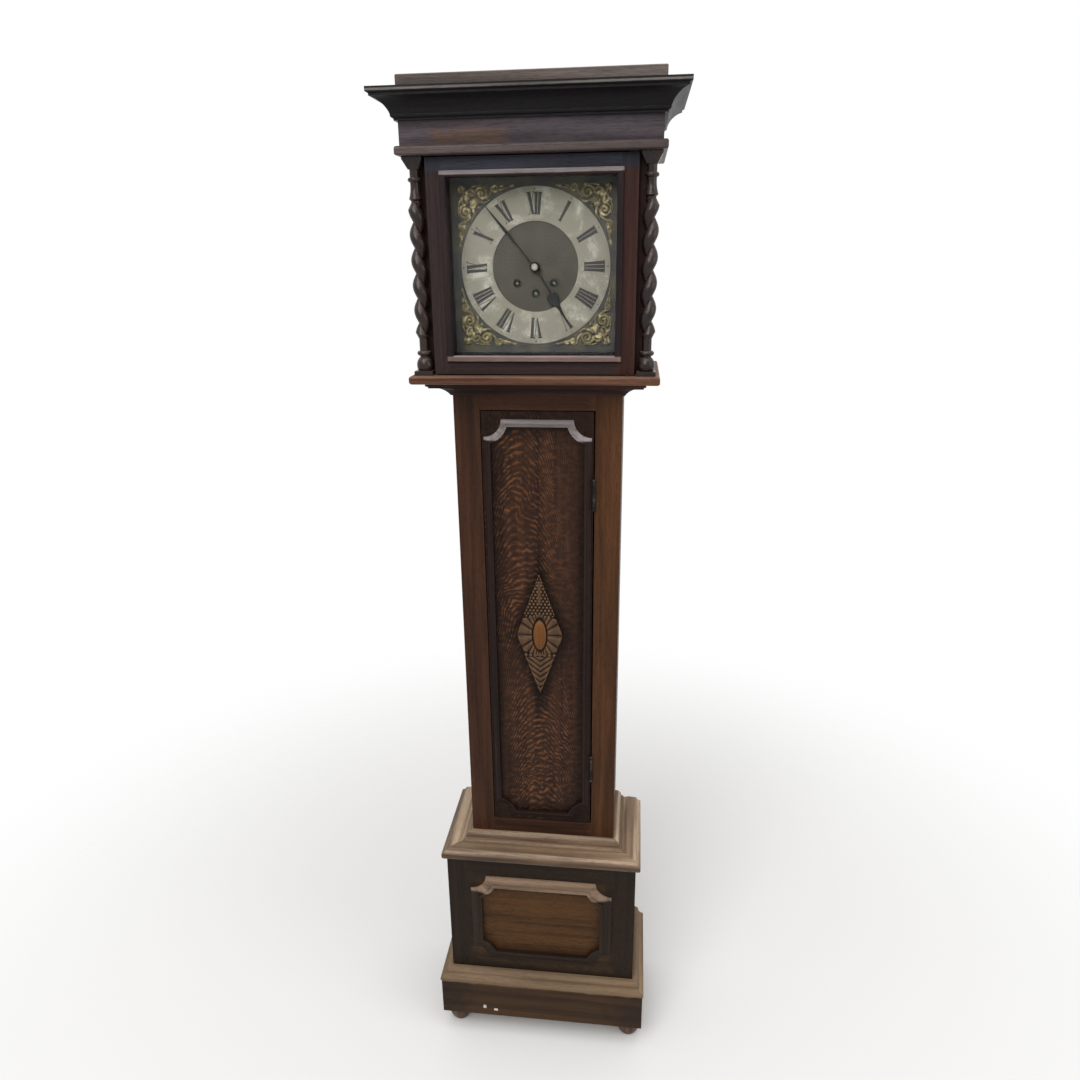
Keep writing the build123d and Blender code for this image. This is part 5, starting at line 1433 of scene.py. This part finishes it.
    def corner_relief(self, points: np.ndarray) -> np.ndarray:
        """Height of the cast scrolls in one corner.

        The highest of the scrolls and leaves, which are mirrored about the corner's diagonal, and
        of the buds and the pearl, which stand on it.

        Args:
            points: Places as distances inwards from the corner along its two edges, n by 2.

        Returns:
            Height over the plate in millimetres, below zero where there is no metal.
        """
        height = np.full(len(points), self.no_metal)
        for way in (points, points[:, ::-1]):
            for path, half, rise in self.scrolls:
                height = np.maximum(height, ridge(way, path, half, rise))
            for leaf in self.leaves:
                height = np.maximum(height, lobe(way, *leaf, self.leaf_rise))
        for place, size, rise in self.buds:
            narrow = size * self.bud_narrowing
            bud = lobe(points, (place, place), size, narrow, math.pi / 4, rise)
            height = np.maximum(height, bud)
        away = np.hypot(points[:, 0] - self.pearl, points[:, 1] - self.pearl)
        return np.maximum(height, dome(away, self.pearl_radius, self.pearl_radius))

    def cast_corners(self) -> None:
        """Makes the four ornaments as one sheet of kept grid squares, closed by a thin wall."""
        line = np.arange(0, self.corner_length, self.relief_pitch)
        s, t = np.meshgrid(line, line, indexing="ij")
        places = np.stack([s.ravel(), t.ravel()], 1)
        reach = np.hypot(self.corner_half - places[:, 0], self.corner_half - places[:, 1])
        height = np.full(len(places), self.no_metal)
        near = (reach > self.ring_reach) & (places.min(1) < self.corner_width)
        height[near] = self.corner_relief(places[near])
        faces = grid_faces(len(line), len(line))
        kept = (height[faces] > 0.0).any(1) & (reach[faces] > self.metal_reach).all(1)
        faces = faces[kept]
        used, numbers = np.unique(faces, return_inverse=True)
        faces = numbers.reshape(-1, 4)
        places, height = places[used], np.maximum(height[used], self.wall_foot)
        points, all_faces = [], []
        for index, (right, up) in enumerate(((1, 1), (1, -1), (-1, 1), (-1, -1))):
            x = right * (self.corner_half - places[:, 0]) * MM
            z = DIAL_Z + up * (self.corner_half - places[:, 1]) * MM
            y = FRONT_OF_BACK - (self.plate_depth + height) * MM
            points.append(np.stack([x, y, z], 1))
            order = faces if right * up > 0 else faces[:, ::-1]
            all_faces.append(order + index * len(places))
        gilt = MetalFinish(
            "spandrel brass", (178, 164, 126), (92, 82, 58), metal=0.2, matt=0.36, amount=0.52,
            scale=130.0,
        )
        piece = make_piece(
            "corner_ornaments", np.concatenate(points), np.concatenate(all_faces).tolist(),
            gilt.make(Clock.effects), "case",
        )
        if piece.data.polygons[0].normal.y > 0:
            piece.data.flip_normals()
        wall = piece.modifiers.new("wall", "SOLIDIFY")
        wall.thickness = self.wall * MM
        wall.offset = -1.0
        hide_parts("spandrels")


@dataclass
class Hands(SubAssembly):
    """Blackened hands, their polished collet and the wheels behind the dial that turn them."""

    boss_front: float = 164.6
    collet_edge: Span = (0.0050, 0.0053)
    relief: float = 0.00003

    def build(self) -> None:
        """Black hands, a light collet on a dark boss."""
        coating = Coating("hand steel", Metallic=0.5, Specular_IOR_Level=0.4)
        b = coating.bench
        feeds = {
            "Place": coating.place, "Scale": 130.0, "Clean": tone(30, 29, 31),
            "Dull": tone(20, 17, 16), "Amount": 0.5, "Matt": 0.36,
        }
        metal = Clock.effects.tarnish.place(b, feeds)
        _, y, _ = b.parts(coating.place)
        near = b.rest(b.step(b.from_line(coating.place, 0.0, DIAL_Z), *self.collet_edge))
        proud = b.calc("LESS_THAN", y, depth_y(self.boss_front))
        collet = b.times(near, proud)
        colour = b.blend(collet, metal["Colour"], tone(122, 120, 116))
        hands = coating.finish(colour, metal["Roughness"], metal["Height"], self.relief)
        coat(("minute_hand", "hour_hand"), hands)
        self.metal(Finishes.brass, "hour_wheel", "minute_wheel", "centre_wheel")


@dataclass
class Movement(SubAssembly):
    """Plates, trains, anchor and winding arbors."""

    def build(self) -> None:
        """Brass plates and wheels on steel arbors."""
        self.metal(Finishes.brass, "front_plate", "back_plate", name="plate brass", scale=35.0)
        self.metal(
            Finishes.brass, "intermediate_wheel", "third_wheel", "escape_wheel", "time_barrel",
            "side_barrels", name="wheel brass",
        )
        self.metal(
            Finishes.steel, "time_arbor", "strike_arbor", "chime_arbor", name="winding steel",
            clean=(104, 101, 98),
        )
        self.metal(Finishes.steel, "anchor", name="anchor steel")


@dataclass
class Pendulum(SubAssembly):
    """Rod and bob."""

    def build(self) -> None:
        """Dull steel rod and a brass-faced bob."""
        self.metal(Finishes.steel, "pendulum_rod", name="rod steel", amount=0.5)
        self.metal(Finishes.brass, "pendulum_bob", name="bob brass", scale=25.0, amount=0.45)


@dataclass
class Chime(SubAssembly):
    """Hammers and rods."""

    def build(self) -> None:
        """Bronze rods and steel hammers."""
        self.metal(
            Finishes.brass, "chime_rods", name="rod bronze", clean=(168, 132, 84),
            dull=(110, 84, 54),
        )
        self.metal(Finishes.steel, "chime_hammers", name="hammer steel", amount=0.5)


@dataclass
class Studio:
    """Floor, lamps, world and the camera at the photo's place."""

    camera_at: tuple[float, float, float] = (0.1664, -1.3994, 1.608)
    yaw: float = 0.11964
    pitch: float = 0.33724
    roll: float = 0.012447
    lens: float = 27.015
    world_light: float = 0.5
    floor_half: float = 7.0
    floor_fade: Span = (0.5, 1.9)
    lamps: tuple[tuple[str, tuple[float, float, float], float, float], ...] = field(
        default=(
            ("key", (-0.7, -2.4, 3.3), 2.0, 62.0),
            ("top", (0.1, -0.5, 3.6), 2.2, 34.0),
            ("side", (2.6, -1.2, 2.0), 1.8, 16.0),
        )
    )

    def build(self) -> None:
        """Sets up everything that isn't the clock."""
        self.set_floor()
        self.set_world()
        for name, place, size, power in self.lamps:
            self.hang_lamp(name, Vector(place), size, power)
        self.set_camera()
        bpy.context.scene.view_settings.view_transform = "Standard"

    def set_floor(self) -> None:
        """A pale floor that keeps the clock's shadow and fades out round it."""
        half = self.floor_half
        points = np.array([[-half, -half, 0], [half, -half, 0], [half, half, 0], [-half, half, 0]])
        mesh = bpy.data.meshes.new("studio_floor")
        mesh.from_pydata(points.tolist(), [], [[0, 1, 2, 3]])
        coating = Coating("studio floor", Roughness=0.9, Specular_IOR_Level=0.1)
        b = coating.bench
        cloud = b.noise(coating.place, (0.6,) * 3, 2.0)
        coating.feed("Base Color", b.blend(cloud, tone(240, 239, 237), tone(244, 243, 241)))
        coating.feed("Alpha", b.rest(b.step(b.length(coating.place), *self.floor_fade)))
        mesh.materials.append(coating.material)
        floor = bpy.data.objects.new("studio_floor", mesh)
        bpy.context.scene.collection.objects.link(floor)

    def set_world(self) -> None:
        """White where the camera, a reflection or the glass looks; plain soft light elsewhere."""
        world = bpy.data.worlds.new("studio")
        bpy.context.scene.world = world
        world.use_nodes = True
        world.node_tree.nodes.clear()
        b = Bench(world.node_tree)
        path = b.put("ShaderNodeLightPath").outputs
        seen = b.calc("MAXIMUM", path["Is Camera Ray"], path["Is Transmission Ray"])
        seen = b.calc("MAXIMUM", seen, path["Is Glossy Ray"])
        strength = b.plus(self.world_light, b.times(seen, 1.0 - self.world_light))
        sky = b.put("ShaderNodeBackground", {"Color": (1.0, 1.0, 1.0, 1.0), "Strength": strength})
        b.put("ShaderNodeOutputWorld", {"Surface": sky.outputs[0]})

    def hang_lamp(self, name: str, place: Vector, size: float, power: float) -> None:
        """Hangs one soft square lamp that faces the middle of the clock.

        Args:
            name: The lamp's name.
            place: Where it hangs.
            size: Its side in metres.
            power: Its power in watts.
        """
        light = bpy.data.lights.new(name, "AREA")
        light.size = size
        light.energy = power
        lamp = bpy.data.objects.new(name, light)
        lamp.location = place
        lamp.rotation_euler = (Vector((0, 0, 1.0)) - place).to_track_quat("-Z", "Y").to_euler()
        bpy.context.scene.collection.objects.link(lamp)

    def set_camera(self) -> None:
        """Points the camera by its turn to the left, its tilt down and its roll."""
        forward = np.array([-math.sin(self.yaw), math.cos(self.yaw), 0.0])
        right = np.array([math.cos(self.yaw), math.sin(self.yaw), 0.0])
        down = np.array([0.0, 0.0, -1.0])
        look = math.cos(self.pitch) * forward + math.sin(self.pitch) * down
        under = math.cos(self.pitch) * down - math.sin(self.pitch) * forward
        across = math.cos(self.roll) * right + math.sin(self.roll) * under
        under = math.cos(self.roll) * under - math.sin(self.roll) * right
        data = bpy.data.cameras.new("photo_view")
        data.sensor_width = 36.0
        data.lens = self.lens
        data.clip_start = 0.01
        camera = bpy.data.objects.new("photo_view", data)
        turn = np.eye(4)
        turn[:3, 0], turn[:3, 1], turn[:3, 2] = across, -under, -look
        turn[:3, 3] = self.camera_at
        camera.matrix_world = Matrix(turn.tolist())
        bpy.context.scene.collection.objects.link(camera)
        bpy.context.scene.camera = camera


def main() -> None:
    """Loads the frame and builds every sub-assembly in order."""
    logging.basicConfig(level=logging.INFO, format="%(name)s: %(message)s")
    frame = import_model()
    Clock.nodes = frame["nodes"]
    Clock.effects = Effects()
    Studio().build()
    kinds = (Plinth, Trunk, TrunkDoor, Hood, HoodDoor, Dial, Hands, Movement, Pendulum, Chime)
    for part in (kind() for kind in kinds):
        part.build()
        log.info("dressed %s", type(part).__name__)
    bpy.context.view_layer.update()


if __name__ == "__main__":
    main()
